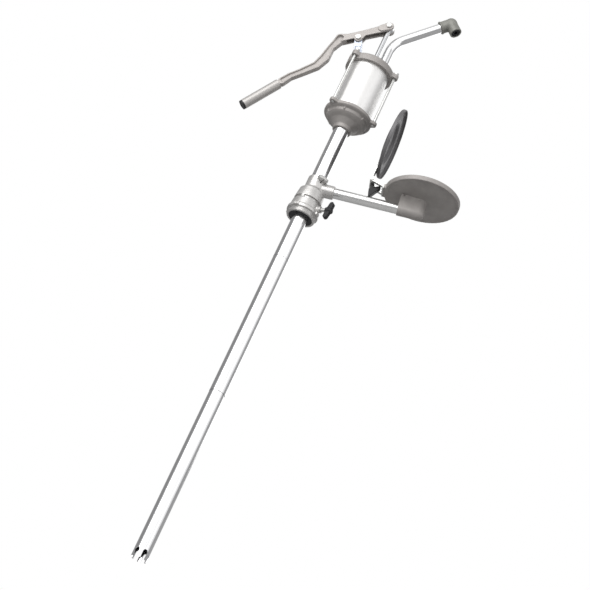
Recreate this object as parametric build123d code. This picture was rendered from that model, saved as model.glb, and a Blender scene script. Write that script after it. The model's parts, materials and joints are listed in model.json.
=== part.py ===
from build123d import *
import math
import os

# Lever-action drum pump with a clamp-on bung adapter and a drain-back drip pan.
# Millimetres and degrees, +Z up along the pump axis, origin on that axis at the lower rim
# of the bung ring.  +X points along the spout, -X along the lever.

# ---- fits ----
RUN_FIT = 0.05            # radial clearance of a running fit
PART_GAP = 0.35           # clearance between faces of bodies that move apart
SCREW_SLACK = 0.3         # radial clearance of a through hole round a screw or a rod

# ---- suction tube ----
TUBE_R = 16.0
TUBE_WALL = 1.5
LOWER_TUBE_R = 15.6
UPPER_JOINT_Z = -104.0
LOWER_JOINT_Z = -424.0
TUBE_END_Z = -782.0
NIPPLE_LENGTH = 44.0
NIPPLE_WALL = 2.0
FOOT_SLOT_COUNT = 6
FOOT_SLOT_WIDTH = 9.0
FOOT_SLOT_HEIGHT = 18.0
FOOT_SLOT_AZIMUTH = -50.0

# ---- bung ring ----
THREAD_R = 29.8           # 2 inch pipe thread, 59.6 over the crests
THREAD_TOP_Z = 10.0
RING_FLANGE_R = 33.5
RING_FLANGE_TOP_Z = 16.5
RING_BODY_R = 31.2
RING_TOP_Z = 34.0
RING_BORE_R = 26.0
RING_LIP_BORE_R = 25.2
RING_LUG_COUNT = 4
RING_LUG_R = 36.0
RING_LUG_WIDTH = 11.0
INSERT_TOP_Z = 8.5
INSERT_DRAIN_R = 1.8
INSERT_DRAIN_COUNT = 4

# ---- wing screw ----
WING_AZIMUTH = -17.0
WING_Z = 25.0
WING_SHANK_R = 4.0
WING_BOSS_R = 7.0
WING_BOSS_END_R = 38.0
WING_INNER_R = 50.0
WING_HUB_R = 6.5
WING_HUB_LENGTH = 12.0
WING_HALF_SPAN = 15.0
WING_HALF_THICKNESS = 4.5
WING_TIP_R = 4.6
WING_TWIST = 1.8

# ---- adapter tee ----
SPIGOT_R = RING_BORE_R - PART_GAP
SPIGOT_BOTTOM_Z = 10.5
SPIGOT_BORE_R = 21.5
COLLAR_BOTTOM_Z = 40.5
COLLAR_R = 29.5
COLLAR_TOP_R = 26.8
COLLAR_TOP_Z = 64.0
COLLAR_TAB_WIDTH = 6.0
COLLAR_TAB_AZIMUTH = -104.0
NECK_R = 20.0
NECK_BOTTOM_Z = 71.0
NECK_TOP_Z = 99.0
NECK_BORE_R = TUBE_R + PART_GAP
NECK_BORE_BOTTOM_Z = 66.0
NECK_SEAL_Z = 74.0
NECK_SEAL_HEIGHT = 4.0
NECK_SEAL_R = 18.2
CLAMP_AZIMUTH = -50.0
CLAMP_SLIT = 2.4
CLAMP_SLIT_BOTTOM_Z = 84.0
CLAMP_LUG_Z = 93.0
CLAMP_LUG_R = 5.6
CLAMP_LUG_THICKNESS = 6.0
CLAMP_SCREW_X = 23.5
CLAMP_HEAD_R = 4.2
CLAMP_HEAD_LENGTH = 4.0
CLAMP_SOCKET_R = 2.0
CLAMP_NUT_FLATS = 8.0
CLAMP_NUT_HEIGHT = 3.2
CLAMP_SCREW_R = 2.5
BRANCH_R = 14.0
BRANCH_END = 42.0
BRANCH_CHAMFER = 1.2
BRANCH_DRAIN_R = 8.0

# ---- drain arm, drip pan and lid, in the arm's own frame ----
ARM_Z = 77.0
ARM_YAW = 8.5
ARM_RISE = 7.1
ARM_R = 10.85
ARM_WALL = 1.6
ARM_START = 27.0
ARM_END = 190.0
PAN_X = 216.5
PAN_R = 79.0
PAN_LOWER_R = PAN_R - 1.5
PAN_RIM_BOTTOM = 31.0
PAN_RIM_TOP = 41.3
PAN_RIM_WALL = 6.0
PAN_FLOOR = 3.4
PAN_DISH = 6.5
PAN_STEP_R = PAN_R - 6.0
PAN_STEP = 1.6
HOOD_FACE = 174.0
HOOD_R = 13.2
DRAIN_R = 8.0
STRAINER_R = 15.0
STRAINER_THICKNESS = 1.2
STRAINER_HOLE_R = 1.6
HINGE_X = 110.0
HINGE_PIN_R = 2.5
HINGE_KNUCKLE_R = 5.0
HINGE_HALF_WIDTH = 17.0
HINGE_MIDDLE_HALF = 10.6
HINGE_LEAF = 2.0
HINGE_LEAF_REACH = 28.0
PAD_X = 136.0
PAD_HALF_WIDTH = 18.0
LID_SHIFT = -1.5           # the closed lid's centre from the pan's, along the arm
LID_R = PAN_R - 3.0
LID_SKIRT = 8.2
LID_WALL = 2.0
LID_CROWN = 6.0
LID_CROWN_R = 47.0
LID_SEAT_GAP = 0.5
LID_OPEN = 81.0           # how far the lid stands open from closed
STOP_HALF_WIDTH = 6.0
STOP_TIP = (111.5, 2.2)   # place along the arm, and radius
STOP_BACK = (109.5, 27.5)
STOP_FRONT = (127.5, 37.5)
STOP_CORNER_R = 2.5
STOP_NECK_FOOT = (114.0, 33.0)
STOP_NECK_R = 4.0
RIVET_R = 2.2
RIVET_HEAD_R = 4.0
RIVET_HEAD_HEIGHT = 1.3
RIVET_SPACING = 11.0

# ---- pump head ----
CAP_R = 52.0
ROD_CIRCLE_R = 56.5
EAR_R = 7.5
EAR_THICKNESS = 10.5
LOWER_EAR_THICKNESS = 7.5
EAR_ROOT_R = 14.0
EAR_COUNT = 3
RIB_HALF_THICKNESS = 1.2
RIB_INNER_R = 37.0
RIB_OUTER_R = 46.0
TIE_ROD_R = 3.0
TIE_NUT_FLATS = 10.0
TIE_NUT_HEIGHT = 5.0
TIE_WASHER_R = 6.2
TIE_WASHER_THICKNESS = 1.0
CYLINDER_R = 44.4
CYLINDER_WALL = 3.4
CYLINDER_BORE_R = CYLINDER_R - CYLINDER_WALL
LOWER_CAP_BOTTOM_Z = 229.0
LOWER_CAP_TOP_Z = 271.0
LOWER_FLANGE_Z = LOWER_CAP_TOP_Z - 6.5
LOWER_CAP_NECK_R = 20.0
UPPER_CAP_BOTTOM_Z = 388.0
UPPER_CAP_RIM_Z = UPPER_CAP_BOTTOM_Z + 14.5
UPPER_CAP_TOP_Z = UPPER_CAP_RIM_Z + 4.5
REGISTER_DEPTH = 4.0
GASKET_THICKNESS = 1.5
CAVITY_R = 39.0
TUBE_SEAT_Z = 249.0
VALVE_SEAT_Z = 252.0
VALVE_SEAT_HEIGHT = 3.0
VALVE_SEAT_R = 17.0
VALVE_SEAT_BORE_R = 11.0
INLET_DISC_R = 14.5
INLET_DISC_THICKNESS = 2.5
INLET_LIFT = 4.0
CAGE_WALL = 2.0
CAGE_TOP_THICKNESS = 2.0
CAGE_RIB_WIDTH = 4.0
UPPER_CAVITY_TOP_Z = UPPER_CAP_BOTTOM_Z + 9.0
BOSS_TOP_Z = UPPER_CAP_TOP_Z + 9.0
GLAND_BOSS_R = 10.0
PACKING_R = 7.5
BUSH_Z = UPPER_CAP_BOTTOM_Z + 12.0
BUSH_HEIGHT = 6.0
PACKING_HEIGHT = 6.0
GLAND_FLATS = 16.0
GLAND_HEX_HEIGHT = 7.0

# ---- piston and rod ----
STROKE = 66.0
ROD_R = 5.0
ROD_THREAD_R = 4.0
PISTON_BOTTOM_Z = UPPER_CAP_BOTTOM_Z - 34.0
ROD_BOTTOM_Z = PISTON_BOTTOM_Z - 10.0
PISTON_BASE_THICKNESS = 6.0
PISTON_HUB_R = CYLINDER_BORE_R - 8.0
PISTON_HEIGHT = 18.0
PISTON_SLACK = 0.6
PISTON_PORT_R = 4.5
PISTON_PORT_CIRCLE_R = 17.0
PISTON_PORT_COUNT = 6
RETAINER_THICKNESS = 2.5
RETAINER_INNER_R = 29.0
RETAINER_OUTER_R = CYLINDER_BORE_R - 3.0
RETAINER_SCREW_R = 1.5
RETAINER_SCREW_COUNT = 4
PISTON_VALVE_R = 26.0
PISTON_VALVE_THICKNESS = 2.0
PISTON_VALVE_LIFT = 3.0
LIFT_STOP_R = 11.0
LIFT_STOP_THICKNESS = 3.0
PISTON_NUT_FLATS = 16.0
PISTON_NUT_HEIGHT = 7.0
ROD_EYE_R = 8.5
ROD_EYE_HALF_WIDTH = 4.8

# ---- lever and link: places in the X-Z plane ----
PIN_Z = UPPER_CAP_BOTTOM_Z + 131.5
PIN_R = 4.0
FULCRUM = (-53.5, PIN_Z - 48.0)
LINK_FOOT = (-36.0, UPPER_CAP_TOP_Z + 11.5)
LEVER_ARM_MIDDLE = (-47.0, PIN_Z - 32.5)
LEVER_SHOULDER = (-76.0, PIN_Z - 52.5)
LEVER_BEND = (-90.5, PIN_Z - 59.0)
LEVER_WAIST = (-101.5, PIN_Z - 89.5)
LEVER_HEEL = (-104.0, PIN_Z - 117.5)
LEVER_KNEE = (-113.5, PIN_Z - 142.5)
LEVER_CALF = (-138.5, PIN_Z - 169.5)
LEVER_ANKLE = (-156.6, PIN_Z - 187.0)
GRIP_START = (-173.0, PIN_Z - 212.5)
GRIP_END = (-225.5, PIN_Z - 288.9)
PIN_END_R = 9.5
ARM_MIDDLE_R = 7.3
FULCRUM_R = 9.0
SHOULDER_R = 7.8
BEND_R = 10.2
WAIST_R = 7.2
HEEL_R = 10.2
KNEE_R = 8.8
CALF_R = 7.3
ANKLE_R = 7.0
TANG_ROOT_R = 8.2
CHANNEL_HALF_WIDTH = 8.4
CHANNEL_GAP_HALF_WIDTH = 5.2
CHANNEL_ROOF = 3.2
FORK_HALF_WIDTH = 11.5
FORK_END_R = PIN_END_R + 0.3
FORK_PAD_X = -13.5
FORK_PAD_DROP = 9.3
FORK_PAD_R = 8.0
CHANNEL_REACH = 40.0      # how far the channel is cut downwards
EYE_ROOM = 2.5            # room round the rod eye inside the fork
SHANK_HALF_WIDTH = 6.2
SHANK_WEB_HALF = 2.2
SHANK_FLANGE = 3.0
GRIP_R = 10.8
TANG_R = 7.0
GRIP_PLUG_THICKNESS = 4.0
LINK_R = 8.5
LINK_HALF_WIDTH = 4.9
LINK_POCKET_DEPTH = 2.2
LINK_POCKET_LENGTH = 15.0
LUG_THICKNESS = 5.0
LUG_R = 9.0
FOOT_PLAY_OUT = 7.2       # room for the open pivot: towards the lever
FOOT_PLAY_DOWN = 3.0      # and downwards
PIN_HEAD_FLATS = 11.0
PIN_HEAD_HEIGHT = 4.0

# ---- spout ----
SPOUT_X = 21.0
SPOUT_R = 10.0
SPOUT_WALL = 1.5
SPOUT_SEAT_Z = UPPER_CAP_BOTTOM_Z + 12.0
SPOUT_KNEE_Z = UPPER_CAP_BOTTOM_Z + 95.0
SPOUT_SLOPE = 41.0
SPOUT_BEND_R = 55.0
SPOUT_REACH = 133.7       # from the knee to the elbow's corner
SPOUT_BOSS_R = 14.5
SPOUT_SEAL_Z = SPOUT_SEAT_Z + 12.0
SPOUT_SEAL_HEIGHT = 2.5
SPOUT_SEAL_R = 11.8
SPOUT_GROOVE_Z = SPOUT_SEAT_Z + 8.0
SPOUT_GROOVE_DEPTH = 0.8
SPOUT_GROOVE_HEIGHT = 3.2
GRUB_R = 2.2
GRUB_TIP_R = 1.2
ELBOW_R = SPOUT_R + 3.0
ELBOW_COLLAR_R = ELBOW_R + 1.0
ELBOW_COLLAR_LENGTH = 3.5
ELBOW_SOCKET = 25.2
ELBOW_BEND_R = 13.0
ELBOW_BALL_R = ELBOW_R + 0.7
OUTLET_LENGTH = 26.6
OUTLET_BORE_R = 9.8
NOZZLE_THICKNESS = 6.0
NOZZLE_RECESS = 0.6
NOZZLE_HOLE_R = 4.2
NOZZLE_SLOT_COUNT = 8
NOZZLE_SLOT_R = 1.2
NOZZLE_SLOT_CIRCLE_R = 7.2

CLAMP_LUG_HALF = CLAMP_SLIT / 2 + CLAMP_LUG_THICKNESS
LID_SEAT = PAN_RIM_TOP + LID_SEAT_GAP
LID_TOP = LID_SEAT + LID_SKIRT
LID_X = PAN_X + LID_SHIFT
HINGE_H = LID_TOP + HINGE_LEAF - HINGE_KNUCKLE_R
ARM = Pos(0, 0, ARM_Z) * Rot(0, 0, ARM_YAW) * Rot(0, -ARM_RISE, 0)
CYLINDER_SEAT_LOW_Z = LOWER_CAP_TOP_Z - REGISTER_DEPTH
CYLINDER_SEAT_HIGH_Z = UPPER_CAP_BOTTOM_Z + REGISTER_DEPTH
GRIP_LENGTH = math.dist(GRIP_START, GRIP_END)
PISTON_BASE_TOP_Z = PISTON_BOTTOM_Z + PISTON_BASE_THICKNESS
PISTON_TOP_Z = PISTON_BOTTOM_Z + PISTON_HEIGHT


# ---- shape helpers ----
def rod_z(radius, z_low, z_high, x=0.0, y=0.0):
    """Solid round bar along Z."""
    return Pos(x, y, (z_low + z_high) / 2) * Cylinder(radius, z_high - z_low)


def ring_z(outer, inner, z_low, z_high, x=0.0, y=0.0):
    """Round ring or tube along Z."""
    overrun = 1.0
    return rod_z(outer, z_low, z_high, x, y) - rod_z(inner, z_low - overrun, z_high + overrun, x, y)


def rod_x(radius, x_low, x_high, y=0.0, z=0.0):
    """Solid round bar along X."""
    return Pos((x_low + x_high) / 2, y, z) * Rot(0, 90, 0) * Cylinder(radius, x_high - x_low)


def rod_y(radius, y_low, y_high, x=0.0, z=0.0):
    """Solid round bar along Y."""
    return Pos(x, (y_low + y_high) / 2, z) * Rot(90, 0, 0) * Cylinder(radius, y_high - y_low)


def block(x_low, x_high, y_low, y_high, z_low, z_high):
    """Rectangular block from its two corners."""
    centre = Pos((x_low + x_high) / 2, (y_low + y_high) / 2, (z_low + z_high) / 2)
    return centre * Box(x_high - x_low, y_high - y_low, z_high - z_low)


def hexagon_z(flats, z_low, z_high, x=0.0, y=0.0, bore=0.0):
    """Hexagonal prism along Z, with an optional bore."""
    outline = RegularPolygon(flats / 2, 6, major_radius=False)
    prism = extrude(Pos(x, y, z_low) * outline, z_high - z_low)
    if bore > 0:
        prism = prism - rod_z(bore, z_low - 1, z_high + 1, x, y)
    return prism


def revolved(points):
    """Solid of revolution about Z from an outline of (radius, z) points."""
    return revolve(Plane.XZ * make_face(Polyline(*points, close=True)), Axis.Z)


def capsule(start, start_r, end, end_r):
    """Flat outline that wraps two circles with their outer tangents."""
    circles = Pos(*start) * Circle(start_r) + Pos(*end) * Circle(end_r)
    return make_hull(circles.edges())


def limb(stations):
    """Flat outline through a row of (place, radius) stations."""
    outline = None
    for (start, start_r), (end, end_r) in zip(stations, stations[1:]):
        piece = capsule(start, start_r, end, end_r)
        outline = piece if outline is None else outline + piece
    return outline


def slab_xz(outline, y_low, y_high):
    """Plate with an X-Z outline between two Y planes."""
    return extrude(Pos(0, y_high, 0) * (Plane.XZ * outline), y_high - y_low)


def around_z(shape, count, start=0.0):
    """Copies of a shape turned evenly about Z."""
    return [Rot(0, 0, start + 360 * number / count) * shape for number in range(count)]


def join(shapes):
    """Fuse a list of shapes into one solid."""
    total = shapes[0]
    for shape in shapes[1:]:
        total = total + shape
    return total


def cut(body, shapes):
    """Take a list of shapes away from a body."""
    for shape in shapes:
        body = body - shape
    return body


def tilted(shape):
    """Move a shape from the drain arm's own frame into the pump's frame."""
    return ARM * shape


# ---- suction tube ----
def suction_tube_upper():
    return ring_z(TUBE_R, TUBE_R - TUBE_WALL, UPPER_JOINT_Z, TUBE_SEAT_Z)


def suction_tube_middle():
    return ring_z(TUBE_R, TUBE_R - TUBE_WALL, LOWER_JOINT_Z, UPPER_JOINT_Z)


def suction_tube_lower():
    tube = ring_z(LOWER_TUBE_R, LOWER_TUBE_R - TUBE_WALL, TUBE_END_Z, LOWER_JOINT_Z)
    half_width = FOOT_SLOT_WIDTH / 2
    arch_z = TUBE_END_Z + FOOT_SLOT_HEIGHT - half_width
    slot = block(0, LOWER_TUBE_R + 2, -half_width, half_width, TUBE_END_Z - 1, arch_z)
    slot = slot + rod_x(half_width, 0, LOWER_TUBE_R + 2, 0, arch_z)
    return cut(tube, around_z(slot, FOOT_SLOT_COUNT, FOOT_SLOT_AZIMUTH))


def tube_nipple(joint_z, tube_r):
    outer = tube_r - TUBE_WALL
    return ring_z(outer, outer - NIPPLE_WALL, joint_z - NIPPLE_LENGTH / 2, joint_z + NIPPLE_LENGTH / 2)


def tube_nipple_upper():
    return tube_nipple(UPPER_JOINT_Z, TUBE_R)


def tube_nipple_lower():
    lower_outer = LOWER_TUBE_R - TUBE_WALL
    upper_outer = TUBE_R - TUBE_WALL
    half = NIPPLE_LENGTH / 2
    shell = rod_z(lower_outer, LOWER_JOINT_Z - half, LOWER_JOINT_Z)
    shell = shell + rod_z(upper_outer, LOWER_JOINT_Z, LOWER_JOINT_Z + half)
    return shell - rod_z(lower_outer - NIPPLE_WALL, LOWER_JOINT_Z - half - 1, LOWER_JOINT_Z + half + 1)


# ---- bung ring ----
def bung_ring():
    profile = [
        (0, 0),
        (THREAD_R, 0),
        (THREAD_R, THREAD_TOP_Z),
        (RING_FLANGE_R, THREAD_TOP_Z),
        (RING_FLANGE_R, RING_FLANGE_TOP_Z),
        (RING_BODY_R, RING_FLANGE_TOP_Z + 2),
        (RING_BODY_R - 1.5, RING_TOP_Z),
        (0, RING_TOP_Z),
    ]
    ring = revolved(profile)
    half = RING_LUG_WIDTH / 2
    lug = block(RING_BODY_R - 3, RING_LUG_R, -half, half, THREAD_TOP_Z, RING_FLANGE_TOP_Z)
    ring = join([ring] + around_z(lug, RING_LUG_COUNT, WING_AZIMUTH))
    boss = rod_x(WING_BOSS_R, RING_BORE_R + 1, WING_BOSS_END_R, 0, WING_Z)
    ring = ring + Rot(0, 0, WING_AZIMUTH) * boss
    ring = ring - rod_z(RING_BORE_R, INSERT_TOP_Z, RING_TOP_Z + 1)
    ring = ring - rod_z(RING_LIP_BORE_R, -1, INSERT_TOP_Z + 1)
    screw_hole = rod_x(WING_SHANK_R + RUN_FIT, 0, WING_BOSS_END_R + 1, 0, WING_Z)
    return ring - Rot(0, 0, WING_AZIMUTH) * screw_hole


def ring_insert():
    insert = ring_z(RING_LIP_BORE_R, TUBE_R + PART_GAP, 0.4, INSERT_TOP_Z)
    middle_r = (RING_LIP_BORE_R + TUBE_R) / 2
    hole = rod_z(INSERT_DRAIN_R, -1, INSERT_TOP_Z + 1, middle_r)
    return cut(insert, around_z(hole, INSERT_DRAIN_COUNT, WING_AZIMUTH))


def wing_screw():
    shank = rod_x(WING_SHANK_R, RING_BORE_R + 0.2, WING_INNER_R + WING_HUB_LENGTH - 3, 0, WING_Z)
    return Rot(0, 0, WING_AZIMUTH) * shank


def wing_knob():
    middle = WING_INNER_R + WING_HUB_LENGTH / 2
    hub = (middle, WING_Z)
    upper = (middle + WING_TWIST, WING_Z + WING_HALF_SPAN)
    lower = (middle - WING_TWIST, WING_Z - WING_HALF_SPAN)
    outline = capsule(hub, WING_HUB_R - 1, upper, WING_TIP_R) + capsule(hub, WING_HUB_R - 1, lower, WING_TIP_R)
    knob = slab_xz(outline, -WING_HALF_THICKNESS, WING_HALF_THICKNESS)
    knob = knob + rod_x(WING_HUB_R, WING_INNER_R - 1, WING_INNER_R + WING_HUB_LENGTH + 0.5, 0, WING_Z)
    knob = knob - rod_x(WING_SHANK_R, 0, WING_INNER_R + WING_HUB_LENGTH - 3, 0, WING_Z)
    return Rot(0, 0, WING_AZIMUTH) * knob


# ---- adapter ----
def clamp_frame(shape):
    """Place a shape made on the +X side at the neck's clamp slit."""
    return Rot(0, 0, CLAMP_AZIMUTH) * shape


def adapter_tee():
    body = revolved([
        (0, SPIGOT_BOTTOM_Z),
        (SPIGOT_R, SPIGOT_BOTTOM_Z),
        (SPIGOT_R, COLLAR_BOTTOM_Z),
        (COLLAR_R, COLLAR_BOTTOM_Z),
        (COLLAR_TOP_R, COLLAR_TOP_Z),
        (NECK_R, NECK_BOTTOM_Z),
        (NECK_R, NECK_TOP_Z - 1.5),
        (NECK_R - 1.5, NECK_TOP_Z),
        (0, NECK_TOP_Z),
    ])
    half_tab = COLLAR_TAB_WIDTH / 2
    tab = block(SPIGOT_R - 1, COLLAR_R - 0.3, -half_tab, half_tab, RING_TOP_Z + PART_GAP, COLLAR_BOTTOM_Z + 2)
    body = body + Rot(0, 0, COLLAR_TAB_AZIMUTH) * tab
    branch = chamfer(rod_x(BRANCH_R, 0, BRANCH_END).edges().group_by(Axis.X)[-1], BRANCH_CHAMFER)
    body = body + tilted(branch)
    web_r = COLLAR_TOP_R - NECK_R
    web = tilted(Pos(NECK_R, 0, BRANCH_R - 2) * Rot(0, 45, 0) * Box(web_r, BRANCH_R, web_r))
    body = body + web
    lug = rod_y(CLAMP_LUG_R, -CLAMP_LUG_HALF, CLAMP_LUG_HALF, CLAMP_SCREW_X, CLAMP_LUG_Z)
    lug_root = block(
        TUBE_R + 2, CLAMP_SCREW_X, -CLAMP_LUG_HALF, CLAMP_LUG_HALF,
        CLAMP_LUG_Z - CLAMP_LUG_R, CLAMP_LUG_Z + CLAMP_LUG_R,
    )
    body = body + clamp_frame(lug + lug_root)
    slit_half = CLAMP_SLIT / 2
    slit_end = CLAMP_SCREW_X + 2 * CLAMP_LUG_R
    slit = block(0, slit_end, -slit_half, slit_half, CLAMP_SLIT_BOTTOM_Z, NECK_TOP_Z + 1)
    hole_end = 2 * CLAMP_LUG_HALF
    screw_hole = rod_y(CLAMP_SCREW_R + SCREW_SLACK, -hole_end, hole_end, CLAMP_SCREW_X, CLAMP_LUG_Z)
    seal_groove = rod_z(NECK_SEAL_R, NECK_SEAL_Z, NECK_SEAL_Z + NECK_SEAL_HEIGHT)
    return cut(body, [
        rod_z(NECK_BORE_R, SPIGOT_BOTTOM_Z - 1, NECK_TOP_Z + 1),
        rod_z(SPIGOT_BORE_R, SPIGOT_BOTTOM_Z - 1, NECK_BORE_BOTTOM_Z),
        seal_groove,
        clamp_frame(slit),
        clamp_frame(screw_hole),
        tilted(rod_x(BRANCH_DRAIN_R, 5, BRANCH_END)),
        tilted(rod_x(ARM_R, ARM_START, BRANCH_END + 1)),
    ])


def neck_seal():
    return ring_z(NECK_SEAL_R, TUBE_R + RUN_FIT, NECK_SEAL_Z, NECK_SEAL_Z + NECK_SEAL_HEIGHT)


def clamp_screw():
    face = CLAMP_LUG_HALF
    end = face + CLAMP_NUT_HEIGHT + 0.8
    head_end = -face - CLAMP_HEAD_LENGTH
    shank = rod_y(CLAMP_SCREW_R, -face, end, CLAMP_SCREW_X, CLAMP_LUG_Z)
    head = rod_y(CLAMP_HEAD_R, head_end, -face, CLAMP_SCREW_X, CLAMP_LUG_Z)
    socket = rod_y(CLAMP_SOCKET_R, head_end - 1, head_end + 2, CLAMP_SCREW_X, CLAMP_LUG_Z)
    return clamp_frame(shank + head - socket)


def clamp_nut():
    nut = hexagon_z(CLAMP_NUT_FLATS, 0, CLAMP_NUT_HEIGHT, bore=CLAMP_SCREW_R)
    place = Pos(CLAMP_SCREW_X, CLAMP_LUG_HALF + CLAMP_NUT_HEIGHT, CLAMP_LUG_Z)
    return clamp_frame(place * Rot(90, 0, 0) * nut)


# ---- drain arm and drip pan ----
def drain_arm():
    return tilted(rod_x(ARM_R, ARM_START, ARM_END) - rod_x(ARM_R - ARM_WALL, ARM_START - 1, ARM_END + 1))


def drip_pan():
    underside = PAN_RIM_BOTTOM + PAN_STEP
    centre_low = underside - PAN_DISH
    shell = revolved([
        (0, centre_low),
        (PAN_STEP_R, underside),
        (PAN_STEP_R + 1, PAN_RIM_BOTTOM),
        (PAN_LOWER_R, PAN_RIM_BOTTOM),
        (PAN_R, PAN_RIM_TOP - 1),
        (PAN_R - 1, PAN_RIM_TOP),
        (0, PAN_RIM_TOP),
    ])
    pad = block(
        PAD_X - PAN_X, PAN_RIM_WALL - PAN_LOWER_R, -PAD_HALF_WIDTH, PAD_HALF_WIDTH,
        PAN_RIM_BOTTOM, PAN_RIM_TOP - 1,
    )
    hollow_r = PAN_R - PAN_RIM_WALL
    hollow = revolved([
        (0, centre_low + PAN_FLOOR),
        (hollow_r - 3, underside + PAN_FLOOR),
        (hollow_r, underside + PAN_FLOOR + 3),
        (hollow_r, PAN_RIM_TOP + 1),
        (0, PAN_RIM_TOP + 1),
    ])
    boss_top = centre_low + PAN_FLOOR / 2
    hood = block(HOOD_FACE - PAN_X, 0, -HOOD_R, HOOD_R, 0, boss_top)
    hood = hood + rod_x(HOOD_R, HOOD_FACE - PAN_X, 0)
    hood = hood + rod_z(HOOD_R, 0, boss_top) + Sphere(HOOD_R)
    pan = cut(shell + pad - hollow + hood, [
        rod_z(STRAINER_R, centre_low + PAN_FLOOR - STRAINER_THICKNESS, PAN_RIM_TOP),
        rod_z(DRAIN_R, 0, PAN_RIM_TOP),
        Sphere(DRAIN_R),
        rod_x(DRAIN_R, HOOD_FACE - PAN_X, 0),
        rod_x(ARM_R, HOOD_FACE - PAN_X - 1, ARM_END - PAN_X),
    ])
    return tilted(Pos(PAN_X, 0, 0) * cut(pan, rivet_pair(rivet_x(), -PAN_X)))


def pan_strainer():
    top = PAN_RIM_BOTTOM + PAN_STEP - PAN_DISH + PAN_FLOOR
    disc = rod_z(STRAINER_R, top - STRAINER_THICKNESS, top)
    hole = rod_z(STRAINER_HOLE_R, top - 5, top + 1)
    holes = [hole]
    for circle_r, count in ((5.0, 6), (10.0, 12)):
        holes = holes + around_z(Pos(circle_r, 0, 0) * hole, count)
    return tilted(Pos(PAN_X, 0, 0) * cut(disc, holes))


def rivet_x():
    """Rivet through the pan bracket and the pan's pad, along the arm's X."""
    middle_h = (PAN_RIM_BOTTOM + PAN_RIM_TOP) / 2
    face = PAD_X - HINGE_LEAF
    shank = rod_x(RIVET_R, face - 0.1, PAD_X + 3.5, 0, middle_h)
    return shank + rod_x(RIVET_HEAD_R, face - RIVET_HEAD_HEIGHT, face, 0, middle_h)


def rivet_z():
    """Rivet through the lid and its leaf, made with the lid closed."""
    middle_x = LID_X - LID_R + HINGE_LEAF_REACH * 0.5
    shank = rod_z(RIVET_R, LID_TOP - LID_WALL, LID_TOP + HINGE_LEAF, middle_x)
    outer_z = LID_TOP + HINGE_LEAF
    inner_z = LID_TOP - LID_WALL
    outer_head = rod_z(RIVET_HEAD_R, outer_z, outer_z + RIVET_HEAD_HEIGHT, middle_x)
    inner_head = rod_z(RIVET_HEAD_R, inner_z - RIVET_HEAD_HEIGHT, inner_z, middle_x)
    return shank + outer_head + inner_head


def rivet_pair(rivet, shift_x=0.0):
    return [Pos(shift_x, side * RIVET_SPACING / 2, 0) * rivet for side in (-1, 1)]


def pan_bracket():
    """Bracket riveted to the pan's pad, with the two outer hinge knuckles."""
    face = PAD_X - HINGE_LEAF
    plate = block(face, PAD_X, -HINGE_HALF_WIDTH, HINGE_HALF_WIDTH, PAN_RIM_BOTTOM, PAN_RIM_TOP)
    foot = (PAD_X - 3.0, PAN_RIM_TOP - 4.0)
    outline = capsule((HINGE_X, HINGE_H), HINGE_KNUCKLE_R, foot, 3.0)
    inner_y = HINGE_MIDDLE_HALF + PART_GAP
    near_ear = slab_xz(outline, -HINGE_HALF_WIDTH, -inner_y)
    far_ear = slab_xz(outline, inner_y, HINGE_HALF_WIDTH)
    pin_hole = rod_y(HINGE_PIN_R, -HINGE_HALF_WIDTH - 1, HINGE_HALF_WIDTH + 1, HINGE_X, HINGE_H)
    return tilted(cut(plate + near_ear + far_ear, [pin_hole] + rivet_pair(rivet_x())))


def pan_bracket_rivets():
    return Compound([tilted(rivet) for rivet in rivet_pair(rivet_x())])


def hinge_pin():
    end = HINGE_HALF_WIDTH + 1.5
    pin = rod_y(HINGE_PIN_R, -end, end, HINGE_X, HINGE_H)
    for side in (-1, 1):
        y_low, y_high = sorted((side * HINGE_HALF_WIDTH, side * end))
        pin = pin + rod_y(HINGE_PIN_R + 1.2, y_low, y_high, HINGE_X, HINGE_H)
    return tilted(pin)


def opened(shape):
    """Turn a shape made with the lid closed to where the lid stands open."""
    turn = Pos(HINGE_X, 0, HINGE_H) * Rot(0, -LID_OPEN, 0) * Pos(-HINGE_X, 0, -HINGE_H)
    return tilted(turn * shape)


def lid_shell(radius, low, high, crown):
    """Shallow dish, filled, with a raised middle."""
    return revolved([
        (0, low),
        (radius, low),
        (radius, high - 2.0),
        (radius - 2.0, high),
        (LID_CROWN_R, high),
        (LID_CROWN_R - 6.0, high + crown),
        (0, high + crown),
    ])


def pan_lid():
    shell = lid_shell(LID_R, LID_SEAT, LID_TOP, LID_CROWN)
    hollow = lid_shell(LID_R - LID_WALL, LID_SEAT - 1, LID_TOP - LID_WALL, LID_CROWN)
    return opened(cut(Pos(LID_X, 0, 0) * (shell - hollow), rivet_pair(rivet_z())))


def lid_bracket():
    """Leaf riveted to the lid, with the middle hinge knuckle."""
    leaf_end = LID_X - LID_R + HINGE_LEAF_REACH
    leaf = block(HINGE_X, leaf_end, -HINGE_MIDDLE_HALF, HINGE_MIDDLE_HALF, LID_TOP, LID_TOP + HINGE_LEAF)
    knuckle = rod_y(HINGE_KNUCKLE_R, -HINGE_MIDDLE_HALF, HINGE_MIDDLE_HALF, HINGE_X, HINGE_H)
    pin_hole = rod_y(HINGE_PIN_R + RUN_FIT, -HINGE_HALF_WIDTH, HINGE_HALF_WIDTH, HINGE_X, HINGE_H)
    return opened(cut(leaf + knuckle, [pin_hole] + rivet_pair(rivet_z())))


def lid_rivets():
    return Compound([opened(rivet) for rivet in rivet_pair(rivet_z())])


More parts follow.
